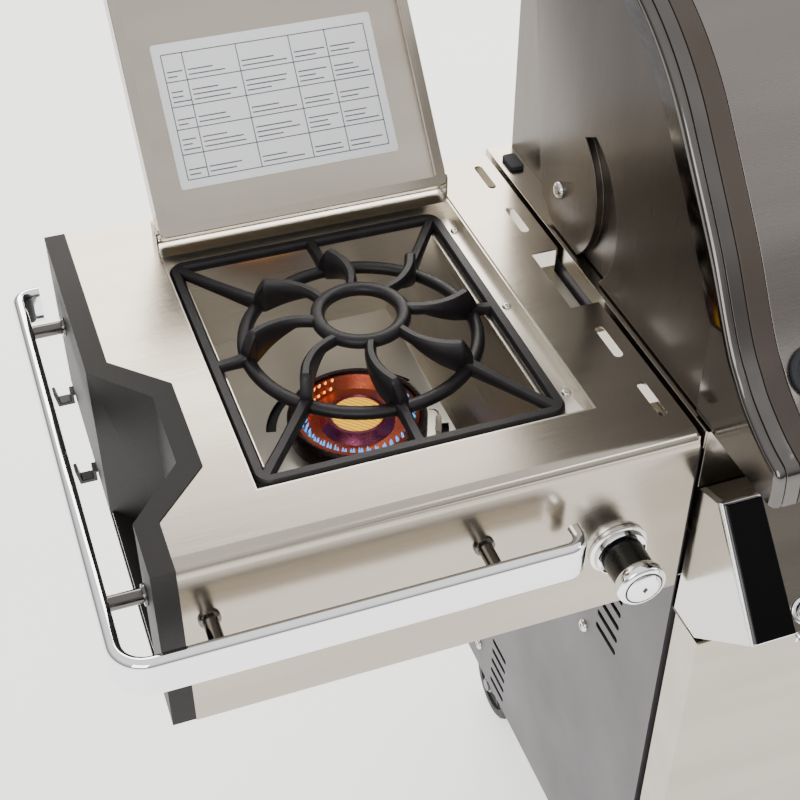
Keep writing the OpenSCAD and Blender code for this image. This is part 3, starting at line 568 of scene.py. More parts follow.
# The gauge's baked dial.
DIAL_WHITE = Moulded("white dial enamel", "#eeeeea", 0.3, "#e6e6e2", 2.0, 0.004)
# The gauge's painted pointer.
POINTER_RED = CoatedSteel("red pointer enamel", "#b3261c", 0.35, "#a0211a")
# Caster forks: dull spangled grey.
GALVANISED = CoatedSteel("galvanised fork", "#8f9092", 0.4, "#7d7e80", 0.9)
# The burning tile: orange grooves and yellow ribs.
HOT_TILE = HotCeramic("glowing ceramic tile", "#e8a21e", 0.8)
# Clean gas at the near ports.
BLUE_FLAME = Glow("blue gas flame", "#4aa8ee", 0.5, 1.5)
# Flames that catch the light of the hot ring behind.
PALE_FLAME = Glow("pale gas flame", "#ffb266", 0.5, 2.2)


# ---- meshes ----


def object_from(name: str, bm: bmesh.types.BMesh, sharp_deg: float = 35.0) -> bpy.types.Object:
    """Turns a bmesh into an object with smooth faces and sharp corners.

    Args:
        name: the object's name.
        bm: the mesh under construction; it is freed.
        sharp_deg: faces that meet at more than this stay sharp.

    Returns:
        The new object.
    """
    bmesh.ops.recalc_face_normals(bm, faces=bm.faces)
    mesh = bpy.data.meshes.new(name)
    bm.to_mesh(mesh)
    bm.free()
    mesh.shade_smooth()
    mesh.set_sharp_from_angle(angle=math.radians(sharp_deg))
    made = bpy.data.objects.new(name, mesh)
    bpy.context.scene.collection.objects.link(made)
    return made


def apply_modifiers(piece: bpy.types.Object) -> bpy.types.Object:
    """Writes a piece's modifiers into its mesh.

    Args:
        piece: the piece, with modifiers on it.

    Returns:
        The same piece, with none.
    """
    depsgraph = bpy.context.evaluated_depsgraph_get()
    mesh = bpy.data.meshes.new_from_object(piece.evaluated_get(depsgraph))
    piece.modifiers.clear()
    piece.data = mesh
    return piece


def bevel(
    piece: bpy.types.Object, width_mm: float, segments: int = 2, angle_deg: float = 40.0,
) -> bpy.types.Object:
    """Rounds a piece's sharp edges.

    Args:
        piece: the piece.
        width_mm: how far the round reaches from each edge.
        segments: facets across the round.
        angle_deg: edges that turn by less are left alone.

    Returns:
        The same piece.
    """
    edge = piece.modifiers.new("edges", "BEVEL")
    edge.width = width_mm * MM
    edge.segments = segments
    edge.limit_method = "ANGLE"
    edge.angle_limit = math.radians(angle_deg)
    edge.harden_normals = True
    edge.use_clamp_overlap = True
    return apply_modifiers(piece)


def add_prism(
    bm: bmesh.types.BMesh, outline: Sequence[Point2], place: Placer, low: float, high: float
) -> None:
    """Adds an outline extruded from low to high.

    Args:
        bm: the mesh under construction.
        outline: the closed outline's points.
        place: turns the outline's two coordinates and the height into a point.
        low: the extrusion's start.
        high: the extrusion's end.
    """
    rings = [[bm.verts.new(place(u, v, w)) for u, v in outline] for w in (low, high)]
    count = len(outline)
    for i in range(count):
        j = (i + 1) % count
        bm.faces.new((rings[0][i], rings[0][j], rings[1][j], rings[1][i]))
    bm.faces.new(list(reversed(rings[0])))
    bm.faces.new(rings[1])


def add_lathe(
    bm: bmesh.types.BMesh,
    profile: Sequence[Point2],
    seat: Matrix,
    segments: int = 64,
    closed: bool = False,
) -> None:
    """Adds a profile turned about the seat's Z axis.

    Args:
        bm: the mesh under construction.
        profile: radius and height of each point, in millimetres.
        seat: places the turned shape, in metres.
        segments: facets round the shape.
        closed: True joins the last point to the first, for a ring.
    """
    rings = []
    for radius, height in profile:
        if radius < 1e-6:
            rings.append([bm.verts.new(seat @ Vector((0, 0, height * MM)))])
            continue
        rings.append(
            [
                bm.verts.new(
                    seat
                    @ Vector(
                        (
                            radius * MM * math.cos(2 * math.pi * i / segments),
                            radius * MM * math.sin(2 * math.pi * i / segments),
                            height * MM,
                        )
                    )
                )
                for i in range(segments)
            ]
        )
    pairs = list(zip(rings, rings[1:] + (rings[:1] if closed else [])))
    for first, second in pairs if closed else pairs[: len(rings) - 1]:
        for i in range(segments):
            j = (i + 1) % segments
            corners = [
                first[i % len(first)], first[j % len(first)], second[j % len(second)],
                second[i % len(second)],
            ]
            unique = list(dict.fromkeys(corners))
            if len(unique) > 2:
                bm.faces.new(unique)


def add_sweep(
    bm: bmesh.types.BMesh,
    path: Sequence[Vector],
    section: Callable[[int], Sequence[Point2]],
    up: Vector,
    closed: bool = False,
) -> list[bmesh.types.BMFace]:
    """Adds a section carried along a path.

    Args:
        bm: the mesh under construction.
        path: the path's points, in metres.
        section: the section's points at each path point, in millimetres: sideways, then upwards.
        up: the direction the section's second coordinate leans to.
        closed: True joins the path's end to its start.

    Returns:
        The two end faces, or none on a closed path.
    """
    count = len(path)
    rings = []
    for i, point in enumerate(path):
        before = path[i - 1] if i or closed else path[i]
        after = path[(i + 1) % count] if i < count - 1 or closed else path[i]
        along = (after - before).normalized()
        side = along.cross(up).normalized()
        rise = side.cross(along).normalized()
        turn_in = (point - before).normalized() if i or closed else along
        stretch = 1 / max(0.5, turn_in.dot(along))
        rings.append(
            [
                bm.verts.new(point + side * (a * MM * stretch) + rise * (b * MM))
                for a, b in section(i)
            ]
        )
    size = len(rings[0])
    for i in range(count if closed else count - 1):
        first, second = rings[i], rings[(i + 1) % count]
        for k in range(size):
            m = (k + 1) % size
            bm.faces.new((first[k], first[m], second[m], second[k]))
    if closed:
        return []
    return [bm.faces.new(list(reversed(rings[0]))), bm.faces.new(rings[-1])]


def hollow_ends(
    bm: bmesh.types.BMesh, ends: Iterable[bmesh.types.BMFace], wall_mm: float, depth_mm: float,
) -> None:
    """Opens the ends of a tube: a wall's width is left and the middle is pushed in.

    Args:
        bm: the mesh under construction.
        ends: the end faces.
        wall_mm: the wall's width.
        depth_mm: how far the middle goes in.
    """
    for face in ends:
        bmesh.ops.recalc_face_normals(bm, faces=bm.faces)
        bmesh.ops.inset_region(bm, faces=[face], thickness=wall_mm * MM)
        inward = -face.normal.copy() * depth_mm * MM
        made = bmesh.ops.extrude_face_region(bm, geom=[face])
        verts = [v for v in made["geom"] if isinstance(v, bmesh.types.BMVert)]
        bmesh.ops.translate(bm, verts=verts, vec=inward)
        bmesh.ops.delete(bm, geom=[face], context="FACES")


def add_mirror(bm: bmesh.types.BMesh) -> None:
    """Adds the mirror image, in the plane X = 0, of all that is there.

    Args:
        bm: the mesh under construction.
    """
    made = bmesh.ops.duplicate(bm, geom=bm.verts[:] + bm.edges[:] + bm.faces[:])
    verts = [v for v in made["geom"] if isinstance(v, bmesh.types.BMVert)]
    faces = [f for f in made["geom"] if isinstance(f, bmesh.types.BMFace)]
    for vert in verts:
        vert.co.x = -vert.co.x
    bmesh.ops.reverse_faces(bm, faces=faces)


def arc(
    cx: float, cy: float, radius: float, start: float, end: float, steps: int = 12,
) -> list[Point2]:
    """Points of an arc about (cx, cy), from start to end in degrees.

    Args:
        cx: the centre's first coordinate.
        cy: the centre's second coordinate.
        radius: the arc's radius.
        start: angle of the first point, in degrees.
        end: angle of the last point, in degrees.
        steps: stretches between the points.

    Returns:
        The arc's points.
    """
    angles = [math.radians(start + (end - start) * i / steps) for i in range(steps + 1)]
    return [(cx + radius * math.cos(a), cy + radius * math.sin(a)) for a in angles]


def round_rect(
    x0: float, y0: float, x1: float, y1: float, radius: float, steps: int = 6,
) -> list[Point2]:
    """A rectangle's outline with rounded corners.

    Args:
        x0: low side.
        y0: near side.
        x1: high side.
        y1: far side.
        radius: the corners' radius.
        steps: stretches round each corner.

    Returns:
        The outline's points.
    """
    return (
        arc(x1 - radius, y1 - radius, radius, 0, 90, steps)
        + arc(x0 + radius, y1 - radius, radius, 90, 180, steps)
        + arc(x0 + radius, y0 + radius, radius, 180, 270, steps)
        + arc(x1 - radius, y0 + radius, radius, 270, 360, steps)
    )


def smooth_curve(points: Sequence[Point2], steps: int) -> list[Point2]:
    """A curve through all the points.

    Args:
        points: the points it passes through.
        steps: points added for each stretch between two of them.

    Returns:
        The curve's points, from the first to the last.
    """
    ends = [points[0], *points, points[-1]]
    curve = []
    for i in range(1, len(ends) - 2):
        a, b, c, d = (Vector(p) for p in ends[i - 1 : i + 3])
        for k in range(steps):
            t = k / steps
            point = 0.5 * (
                2 * b
                + (c - a) * t
                + (2 * a - 5 * b + 4 * c - d) * t**2
                + (3 * b - a - 3 * c + d) * t**3
            )
            curve.append((point.x, point.y))
    return [*curve, tuple(points[-1])]


def offset_curve(curve: Sequence[Point2], distance: float) -> list[Point2]:
    """The curve moved to the right of its direction of travel.

    Args:
        curve: the points of the curve.
        distance: how far it moves.

    Returns:
        The moved curve's points.
    """
    moved = []
    for i, (u, v) in enumerate(curve):
        before, after = curve[max(i - 1, 0)], curve[min(i + 1, len(curve) - 1)]
        along = Vector((after[0] - before[0], after[1] - before[1])).normalized()
        moved.append((u + along.y * distance, v - along.x * distance))
    return moved


# ---- dressing ----


def dress(
    piece: bpy.types.Object, node: str, finish: Finish, stands_in: bool = True
) -> bpy.types.Object:
    """Gives a piece its finish and puts it on the body of a CAD node.

    Args:
        piece: the piece, in place.
        node: the CAD node it belongs with.
        finish: its finish.
        stands_in: True hides the node and shows the piece in its place.

    Returns:
        The same piece.
    """
    piece.data.materials.clear()
    piece.data.materials.append(finish.material())
    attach(piece, BODY_OF[node])
    if stands_in:
        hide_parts(node)
    LOG.info("%s: %s, with %s", piece.name, finish.name, node)
    return piece


def finished_node(node: str, finish: Finish) -> None:
    """Gives a CAD node a detailed finish and keeps its shape.

    Args:
        node: the CAD node.
        finish: its finish.
    """
    NODES[node].data.materials.clear()
    NODES[node].data.materials.append(finish.material())
    LOG.info("%s: %s", node, finish.name)


def eased(node: str, finish: Finish, width_mm: float = 0.5, segments: int = 2) -> bpy.types.Object:
    """A copy of a CAD node with its edges rounded, which stands in for it.

    Args:
        node: the CAD node.
        finish: the copy's finish.
        width_mm: width of the rounding.
        segments: facets across the rounding.

    Returns:
        The dressed copy.
    """
    bm = bmesh.new()
    bm.from_mesh(NODES[node].data)
    bmesh.ops.remove_doubles(bm, verts=bm.verts, dist=2e-6)
    bmesh.ops.dissolve_limit(bm, angle_limit=math.radians(1.0), verts=bm.verts, edges=bm.edges)
    copy = object_from(f"{node}_eased", bm, 30.0)
    return dress(bevel(copy, width_mm, segments), node, finish)


def seat_at(point: Vector, outward: Vector) -> Matrix:
    """A frame at a point with its Z axis along outward, in metres."""
    turn = outward.to_track_quat("Z", "Y").to_matrix().to_4x4()
    return Matrix.Translation(point) @ turn


def in_frame(seat: Matrix) -> Placer:
    """A placer of points, in millimetres, in a frame's own directions."""
    return lambda u, v, w: seat @ Vector((u * MM, v * MM, w * MM))


def joint_seat(name: str) -> Matrix:
    """A frame at a joint with its Z axis along the joint's axis."""
    return seat_at(Vector(JOINTS[name]["pos_m"]), Vector(JOINTS[name]["axis"]))


# ---- hood ----


@dataclass
class Hood:
    """The roll-back hood: skin, bands, cast end trims, end plates, handle and gauge."""

    crown_r: float = 253.0
    pivot: Point2 = (288.0, 46.0)
    crown_deg: Point2 = (139.5, 67.5)
    foot_z: float = 4.0
    nose: tuple[Point2, ...] = ((-91, 4), (-91, 16), (-89, 31), (-83.5, 37))
    sweep: tuple[Point2, ...] = (
        (-83.5, 37),
        (-67, 42),
        (-50, 50),
        (-33, 60),
        (-20, 71),
        (-8, 82),
        (7, 101),
        (31, 135),
        (49, 157),
        (73, 184.6),
    )
    trim_x: float = 388.0
    trim_w: float = 20.9
    band_x: float = 367.0
    skin_x: float = 349.0
    crescent_outer: tuple[float, ...] = (256, 58, 76, 268, 108)
    crescent_inner: tuple[float, ...] = (291, 60, 72, 124, 243)

    def outline(self) -> list[Point2]:
        """The hood's profile from its nose to the crown's rear edge.

        Returns:
            The profile's points.
        """
        crown = arc(*self.pivot, self.crown_r, *self.crown_deg, 48)
        front = smooth_curve([*self.sweep, crown[0], crown[1]], 5)
        cut = front.index(min(front, key=lambda p: math.dist(p, crown[0])))
        return [*smooth_curve(self.nose, 4)[:-1], *front[:cut], *crown]

    def place(self, u: float, v: float, w: float) -> Vector:
        """A profile point at w across the grill."""
        return CENTRE.at(w, u, v)

    def strip(self, bm: bmesh.types.BMesh, thickness: float, low: float, high: float) -> None:
        """Adds the profile as a sheet of one thickness between two places across the grill.

        Args:
            bm: the mesh under construction.
            thickness: the sheet's thickness.
            low: where it starts across the grill.
            high: where it ends.
        """
        curve = self.outline()
        inner = offset_curve(curve, thickness)
        add_prism(bm, [*curve, *reversed(inner)], self.place, low, high)

    def build_skin(self) -> None:
        """Makes the brushed skin with its turned-under foot, and the dark bands."""
        curve = self.outline()
        foot = [(-6.0, 20.0), (-6.0, self.foot_z)]
        path = [*foot, *curve]
        inner = [(-8.0, 20.0), (-8.0, self.foot_z + 2), *offset_curve(curve, 2.0)[1:]]
        bm = bmesh.new()
        add_prism(bm, [*path, *reversed(inner)], self.place, -self.skin_x, self.skin_x)
        skin = object_from("hood_skin_sheet", bm, 28.0)
        # The skin's darker copy of the stainless is painted shade.
        dress(bevel(skin, 0.5, 2, 50), "hood_skin", SHADED_HOOD_STEEL)
        bm = bmesh.new()
        self.strip(bm, 3.0, -self.band_x, -self.skin_x - 0.3)
        add_mirror(bm)
        bands = object_from("hood_dark_bands", bm, 28.0)
        dress(bevel(bands, 0.7, 2, 50), "hood_ends", BAND_STEEL, False)

    def build_trims(self) -> None:
        """Makes the cast trims: a ridged corner, a front face and a plate that fills the nose."""
        curve = self.outline()
        split = next(i for i, point in enumerate(curve) if point[0] > 6.0)
        inward = offset_curve(curve, 1.0)
        path = [self.place(u, v, -self.trim_x) for u, v in curve]
        rows = []
        for i in range(len(curve)):
            leg = 23.0 if i >= split else 6.0
            rows.append(
                [
                    (0, leg),
                    (0, 6),
                    (0.5, 3.2),
                    (2.0, 1.2),
                    (4.2, 0.3),
                    (6.4, 0.2),
                    (7.2, 1.3),
                    (8.2, 1.3),
                    (9.0, 0),
                    (19.9, 0),
                    (self.trim_w, 1.0),
                    (self.trim_w, 2.9),
                    (2.9, 2.9),
                    (2.9, leg),
                ]
            )
        bm = bmesh.new()
        rings = []
        for i, row in enumerate(rows):
            step = Vector((0, inward[i][0] - curve[i][0], inward[i][1] - curve[i][1]))
            rings.append(
                [
                    bm.verts.new(path[i] + step * (d * MM) + Vector((x * MM, 0, 0)))
                    for x, d in row
                ]
            )
        for first, second in zip(rings, rings[1:]):
            for k in range(len(first)):
                m = (k + 1) % len(first)
                bm.faces.new((first[k], first[m], second[m], second[k]))
        bm.faces.new(list(reversed(rings[0])))
        bm.faces.new(rings[-1])
        edge = offset_curve(curve, 5.8)[: split]
        edge[0] = (edge[0][0], self.foot_z)
        corner = offset_curve(curve, 22.8)[split]
        add_prism(
            bm,
            [*edge, corner, (23.0, 86.0), (23.0, 36.0), (21.5, self.foot_z)],
            self.place,
            -self.trim_x + 0.05,
            -self.trim_x + 3.4,
        )
        add_mirror(bm)
        trims = object_from("hood_end_trims", bm, 32.0)
        # The trims' dark colour is a painted dark reflection on polished metal.
        dress(bevel(trims, 0.5, 2, 55), "hood_trims", DARK_REFLECTION_TRIM_STEEL)

    def build_ends(self) -> None:
        """Makes the end plates, each with a crescent pressed in round its pivot boss."""
        curve = offset_curve(self.outline(), 3.3)
        rear_r = self.pivot[1] - self.foot_z
        plate = [
            *[(u, max(v, self.foot_z)) for u, v in curve],
            *arc(*self.pivot, rear_r, -13, -90, 14),
            (20.0, self.foot_z),
        ]
        bm = bmesh.new()
        add_prism(bm, plate, self.place, -self.trim_x + 3.0, -self.trim_x + 12.0)
        ends = object_from("hood_end_plates", bm, 28.0)
        bm = bmesh.new()
        outer = arc(*self.crescent_outer, 40)
        inner = arc(*self.crescent_inner, 40)
        add_prism(bm, outer + inner, self.place, -self.trim_x, -self.trim_x + 10.0)
        cutter = object_from("crescent_cutter", bm)
        cut = ends.modifiers.new("crescent", "BOOLEAN")
        cut.operation = "DIFFERENCE"
        cut.object = cutter
        cut.solver = "EXACT"
        apply_modifiers(ends)
        bpy.data.objects.remove(cutter)
        bm = bmesh.new()
        bm.from_mesh(ends.data)
        bpy.data.objects.remove(ends)
        add_mirror(bm)
        bmesh.ops.dissolve_limit(bm, angle_limit=math.radians(0.5), verts=bm.verts, edges=bm.edges)
        ends = object_from("hood_end_plates", bm, 28.0)
        dress(bevel(ends, 1.6, 3, 55), "hood_ends", DARK_STEEL)

    def build_handle(self) -> None:
        """Makes the tubular handle with end caps, posts and seats."""
        out = Vector((0, -0.64, 0.77))
        seat_y, seat_z, stand, half = -27.0, 65.5, 48.0, 337.0
        bar = CENTRE.at(0, seat_y, seat_z) + out * stand * MM
        bm = bmesh.new()
        profile = [
            (0, -half), (8.5, -half), (10.5, -half + 1), (11.5, -half + 3), (11.5, -half + 24),
        ]
        profile += [(10.9, -half + 25), (10.9, -half + 26.5), (11.5, -half + 27.5)]
        profile += [(r, -z) for r, z in reversed(profile)]
        add_lathe(bm, profile, seat_at(bar, Vector((1, 0, 0))), 48)
        for side in (-1, 1):
            foot = CENTRE.at(side * (half - 12), seat_y, seat_z)
            post = [
                (16, 0.4), (16, 9), (14.5, 11.5), (11, 12.5), (8.2, 14.5), (7.6, 20),
                (8.6, stand - 4),
            ]
            add_lathe(bm, post, seat_at(foot, out), 40)
        handle = object_from("hood_handle_tube", bm, 40.0)
        dress(handle, "hood_handle", CHROME)
        bm = bmesh.new()
        for side in (-1, 1):
            foot = CENTRE.at(side * (half - 12), seat_y, seat_z)
            ring = [(16.2, 0.2), (21, 0.2), (21, 3.4), (19.6, 4.8), (16.2, 4.8)]
            add_lathe(bm, ring, seat_at(foot, out), 48, True)
        dress(object_from("hood_handle_washers", bm), "hood_handle", RUBBER, False)

    def build_gauge(self) -> None:
        """Makes the thermometer: case, dial with plain ticks, and pointer."""
        seat = seat_at(Vector(JOINTS["gauge_turn"]["pos_m"]), -Vector(JOINTS["gauge_turn"]["axis"]))
        bm = bmesh.new()
        case = [
            (31, 5.2), (31, 11), (32.2, 12), (34.5, 12), (36, 10.4), (36, 1), (34, 0), (30, 0.2),
            (30, 5.2),
        ]
        add_lathe(bm, case, seat, 72, True)
        dress(object_from("gauge_case", bm), "thermometer_case", CHROME)
        bm = bmesh.new()
        add_lathe(bm, [(1.7, 4), (1.7, 5.4), (30.9, 5.4), (30.9, 4)], seat, 64, True)
        dress(object_from("gauge_dial", bm), "thermometer_case", DIAL_WHITE, False)
        bm = bmesh.new()
        for i in range(25):
            turn = math.radians(-120 + 10 * i)
            long = 6.5 if i % 4 == 0 else 3.5
            across = seat @ Matrix.Rotation(turn, 4, "Z")
            outline = [(-0.35, 28.5 - long), (0.35, 28.5 - long), (0.35, 28.5), (-0.35, 28.5)]
            add_prism(bm, outline, in_frame(across), 5.35, 5.65)
        dress(object_from("gauge_ticks", bm), "thermometer_case", PRINT_INK, False)
        eased("thermometer_needle", POINTER_RED, 0.2)

    def build(self) -> None:
        """Makes the whole hood."""
        self.build_skin()
        self.build_trims()
        self.build_ends()
        self.build_handle()
        self.build_gauge()


# ---- side shelves ----


@dataclass
class Shelves:
    """Both side shelves with their end caps, rails, posts and hooks."""

    rail_off: float = 34.0
    rail_t: float = 12.0
    rail_tall: float = 36.0
    rail_z: float = -62.0
    corner_r: float = 24.0
    hook_r: float = 13.0
    back_y: float = 424.0
    right_x: float = 320.0
    post_z: float = -58.0
    side_posts: Point2 = (38.0, 377.0)
    front_posts: Point2 = (38.0, 252.0)

    def rail_path(self) -> list[Vector]:
        """The rail's centreline from its rear hook round to its front hook.

        Returns:
            The centreline's points, in metres.
        """
        off, hook, corner = self.rail_off, self.hook_r, self.corner_r
        plan = [(-off + hook + 7, self.back_y)]
        plan += arc(-off + hook, self.back_y - hook, hook, 90, 180, 10)
        plan += arc(-off + corner, -off + corner, corner, 180, 270, 16)
        plan += arc(self.right_x - hook, -off + hook, hook, 270, 360, 10)
        plan += [(self.right_x, -off + hook + 7)]
        return [LEFT.at(x, y, self.rail_z) for x, y in plan]

    def rail_section(self) -> list[Point2]:
        """The rail's flattened oval.

        Returns:
            The section's points.
        """
        half, round_r = (self.rail_tall - self.rail_t) / 2, self.rail_t / 2
        return arc(0, half, round_r, 0, 180, 14) + arc(0, -half, round_r, 180, 360, 14)

    def build_rails(self) -> None:
        """Makes the two rails with open, walled ends."""
        bm = bmesh.new()
        ends = add_sweep(bm, self.rail_path(), lambda i: self.rail_section(), Vector((0, 0, 1)))
        hollow_ends(bm, ends, 1.4, 12.0)
        add_mirror(bm)
        dress(object_from("shelf_rail_tubes", bm, 40.0), "shelf_rails", CHROME)

    def build_posts(self) -> None:
        """Makes the turned posts, each with a washer against the shelf."""
        gap = self.rail_off - self.rail_t / 2
        profile = [
            (0, -1.0), (5.2, -1.0), (6, 0), (6, gap - 3.2), (8.4, gap - 2.6), (8.6, gap - 1.6),
            (8.6, gap - 0.2),
        ]
        bm = bmesh.new()
        for y in self.side_posts:
            add_lathe(bm, profile, seat_at(LEFT.at(-gap, y, self.post_z), Vector((1, 0, 0))), 32)
        for x in self.front_posts:
            add_lathe(bm, profile, seat_at(LEFT.at(x, -gap, self.post_z), Vector((0, 1, 0))), 32)
        add_mirror(bm)
        # The posts take the trim's dark colour: a painted dark reflection.
        dress(object_from("rail_post_turnings", bm), "rail_posts", DARK_REFLECTION_TRIM_STEEL)

    def build(self) -> None:
        """Makes both shelves."""
        eased("shelf_left", STAINLESS_X, 0.45)
        eased("shelf_right", STAINLESS_X, 0.45)
        eased("shelf_caps", CAP_PLASTIC, 1.3, 3)
        eased("shelf_end_plates", CAP_PLASTIC, 0.4)
        eased("tool_hooks", DARK_PAINT, 0.8)
        eased("shelf_brackets", ZINC, 0.4)
        self.build_rails()
        self.build_posts()


# ---- side burner ----


@dataclass
class SideBurner:
    """The burner in the left shelf: well, ring, grate, lid and its flames."""

    centre: Point2 = (223.0, 217.0)
    floor_z: float = -112.0
    grate_centre: Point2 = (227.0, 215.0)
    grate_low: Point2 = (95.0, 66.0)
    grate_high: Point2 = (352.0, 366.0)
    ring_low_r: float = 98.0
    ring_top_r: float = 36.0
    grate_top: float = 19.5
    frame_top: float = -4.0
    foot: float = -11.8
    bar: float = 11.0
    blade_plan: tuple[Point2, ...] = (
        (101, 1.0), (97, 0.0), (89, -2.6), (79, -6.0), (67, -8.8), (56, -10.0), (46, -8.8),
        (37, -5.5),
    )
    lid_low: Point2 = (95.0, 61.0)
    lid_high: Point2 = (366.0, 394.0)
    lid_top: float = 29.0
    lid_rim: float = 3.0

    def seat(self) -> Matrix:
        """The burner's axis, from the floor of its well."""
        return Matrix.Translation(LEFT.at(*self.centre, self.floor_z))

    def build_ring(self) -> None:
        """Makes the bowl with its rolled lip, the core with port studs, and the hot tile."""
        bm = bmesh.new()
        bowl = [
            (50.2, 0), (62, 0), (62, 15), (61, 18), (58.6, 19.8), (56.4, 18.8), (55.2, 15.5),
            (52, 7),
        ]
        add_lathe(bm, bowl, self.seat(), 96, True)
        dress(object_from("burner_rolled_bowl", bm), "burner_bowl", HOT_BOWL)
        bm = bmesh.new()
        core = [
            (33.2, 1), (33.2, 8.2), (36, 6.4), (43, 6.8), (49.5, 11), (53.6, 17.4), (54.9, 16.6),
            (50.2, 4), (49.8, 1),
        ]
        add_lathe(bm, core, self.seat(), 96, True)
        for row, (radius, height, count) in enumerate(((51.6, 14.6, 44), (47.2, 10.0, 40))):
            for i in range(count):
                turn = 2 * math.pi * (i + row / 2) / count
                spot = LEFT.at(
                    self.centre[0] + radius * math.cos(turn),
                    self.centre[1] + radius * math.sin(turn),
                    self.floor_z + height,
                )
                inward = Vector((-math.cos(turn), -math.sin(turn), 0.9)).normalized()
                add_lathe(
                    bm, [(1.5, -1), (1.5, 0.9), (0.9, 1.1), (0.9, 0.2), (0, 0.2)],
                    seat_at(spot, inward), 8,
                )
        dress(object_from("burner_port_ring", bm), "burner_core", HOT_CORE, False)
        bm = bmesh.new()
        cup = [(23.2, 1), (23.2, 16), (24.4, 17.6), (26.6, 16.6), (29, 12.4), (33, 8.4), (33, 1)]
        add_lathe(bm, cup, self.seat(), 96, True)
        dress(object_from("burner_gas_cup", bm), "burner_core", HOT_CUP, False)
        bm = bmesh.new()
        shield = [
            (31, -5.4), (31, -6.2), (84, -6.2), (87, -3.6), (87, -1.6), (86.2, -1.6), (86.2, -3.4),
            (83.8, -5.4),
        ]
        add_lathe(bm, shield, self.seat(), 72, True)
        dress(object_from("burner_heat_shield", bm), "burner_box", DARK_PAINT, False)
        finished_node("burner_core", HOT_CORE)
        bm = bmesh.new()
        tile = [(0, 17.2), (21.2, 16.9), (22.3, 16.2), (22.7, 14), (22.7, 0.5), (0, 0.5)]
        add_lathe(bm, tile, self.seat(), 64)
        dress(object_from("burner_tile", bm), "burner_ceramic", HOT_TILE)

    def build_flames(self) -> None:
        """Makes the gas flames, two rows of small cones that aren't part of the grill."""
        rows = (
            (51.2, 15.0, 44, 6.4, BLUE_FLAME),
            (46.2, 10.4, 40, 5.6, BLUE_FLAME),
            (51.0, 15.0, 44, 6.4, PALE_FLAME),
            (45.8, 10.6, 40, 5.2, PALE_FLAME),
        )
        for row, (radius, height, count, tall, finish) in enumerate(rows):
            bm = bmesh.new()
            for i in range(count):
                turn = 2 * math.pi * (i + (row % 2) / 2) / count
                place_deg = math.degrees(turn) % 360
                back = 55 < place_deg < 160
                if (finish is PALE_FLAME) != back or (back and place_deg < 95):
                    continue
                reach = tall * (0.85 + 0.3 * math.sin(i * 2.4) ** 2)
                spot = LEFT.at(
                    self.centre[0] + radius * math.cos(turn),
                    self.centre[1] + radius * math.sin(turn),
                    self.floor_z + height,
                )
                lean = Vector((-math.cos(turn), -math.sin(turn), 2.2)).normalized()
                cone = [(0, -0.4), (0.8, 0), (1.15, reach * 0.3), (0.8, reach * 0.65), (0, reach)]
                add_lathe(bm, cone, seat_at(spot, lean), 8)
            flames = object_from(f"flame_row_{row + 1}", bm)
            flames.data.materials.append(finish.material())

    def blade(self, bm: bmesh.types.BMesh, turn_deg: float) -> None:
        """Adds one curved blade that climbs from the lower ring to the top ring.

        Args:
            bm: the mesh under construction.
            turn_deg: where round the rings it starts.
        """
        stations = smooth_curve(self.blade_plan, 5)
        path, tops, bottoms, widths = [], [], [], []
        for radius, swing in stations:
            turn = math.radians(turn_deg + swing)
            path.append((radius * math.cos(turn), radius * math.sin(turn)))
            t = (stations[0][0] - radius) / (stations[0][0] - stations[-1][0])
            rise = min(1.0, t / 0.12)
            tops.append(2.0 + (self.grate_top - 0.4 - 2.0) * rise**0.8)
            drop = min(1.0, max(0.0, (t - 0.14) / 0.6))
            bottoms.append(self.foot + (self.grate_top - 9.5 - self.foot) * drop**0.95)
            widths.append(5.6 - 0.9 * t)
        points = [LEFT.at(self.grate_centre[0] + x, self.grate_centre[1] + y, 0) for x, y in path]

        def section(i: int) -> list[Point2]:
            """The blade's rounded section at point i.

            Args:
                i: the point along the blade.

            Returns:
                The section's points.
            """
            half, low, high = widths[i], bottoms[i], tops[i]
            return [
                (-half * 0.75, low),
                (half * 0.75, low),
                (half, low + 2),
                (half * 0.85, high - 2.6),
                (half * 0.45, high - 0.4),
                (-half * 0.45, high - 0.4),
                (-half * 0.85, high - 2.6),
                (-half, low + 2),
            ]

        add_sweep(bm, points, section, Vector((0, 0, 1)))

    def bar_section(self, low: float, high: float, half: float) -> list[Point2]:
        """A cast bar's section: flat below, rounded above.

        Args:
            low: height of its foot.
            high: height of its top.
            half: half its width.

        Returns:
            The section's points.
        """
        return [
            (-half * 0.85, low),
            (half * 0.85, low),
            (half, low + 1.5),
            (half * 0.92, high - 2.5),
            (half * 0.55, high - 0.4),
            (-half * 0.55, high - 0.4),
            (-half * 0.92, high - 2.5),
            (-half, low + 1.5),
        ]

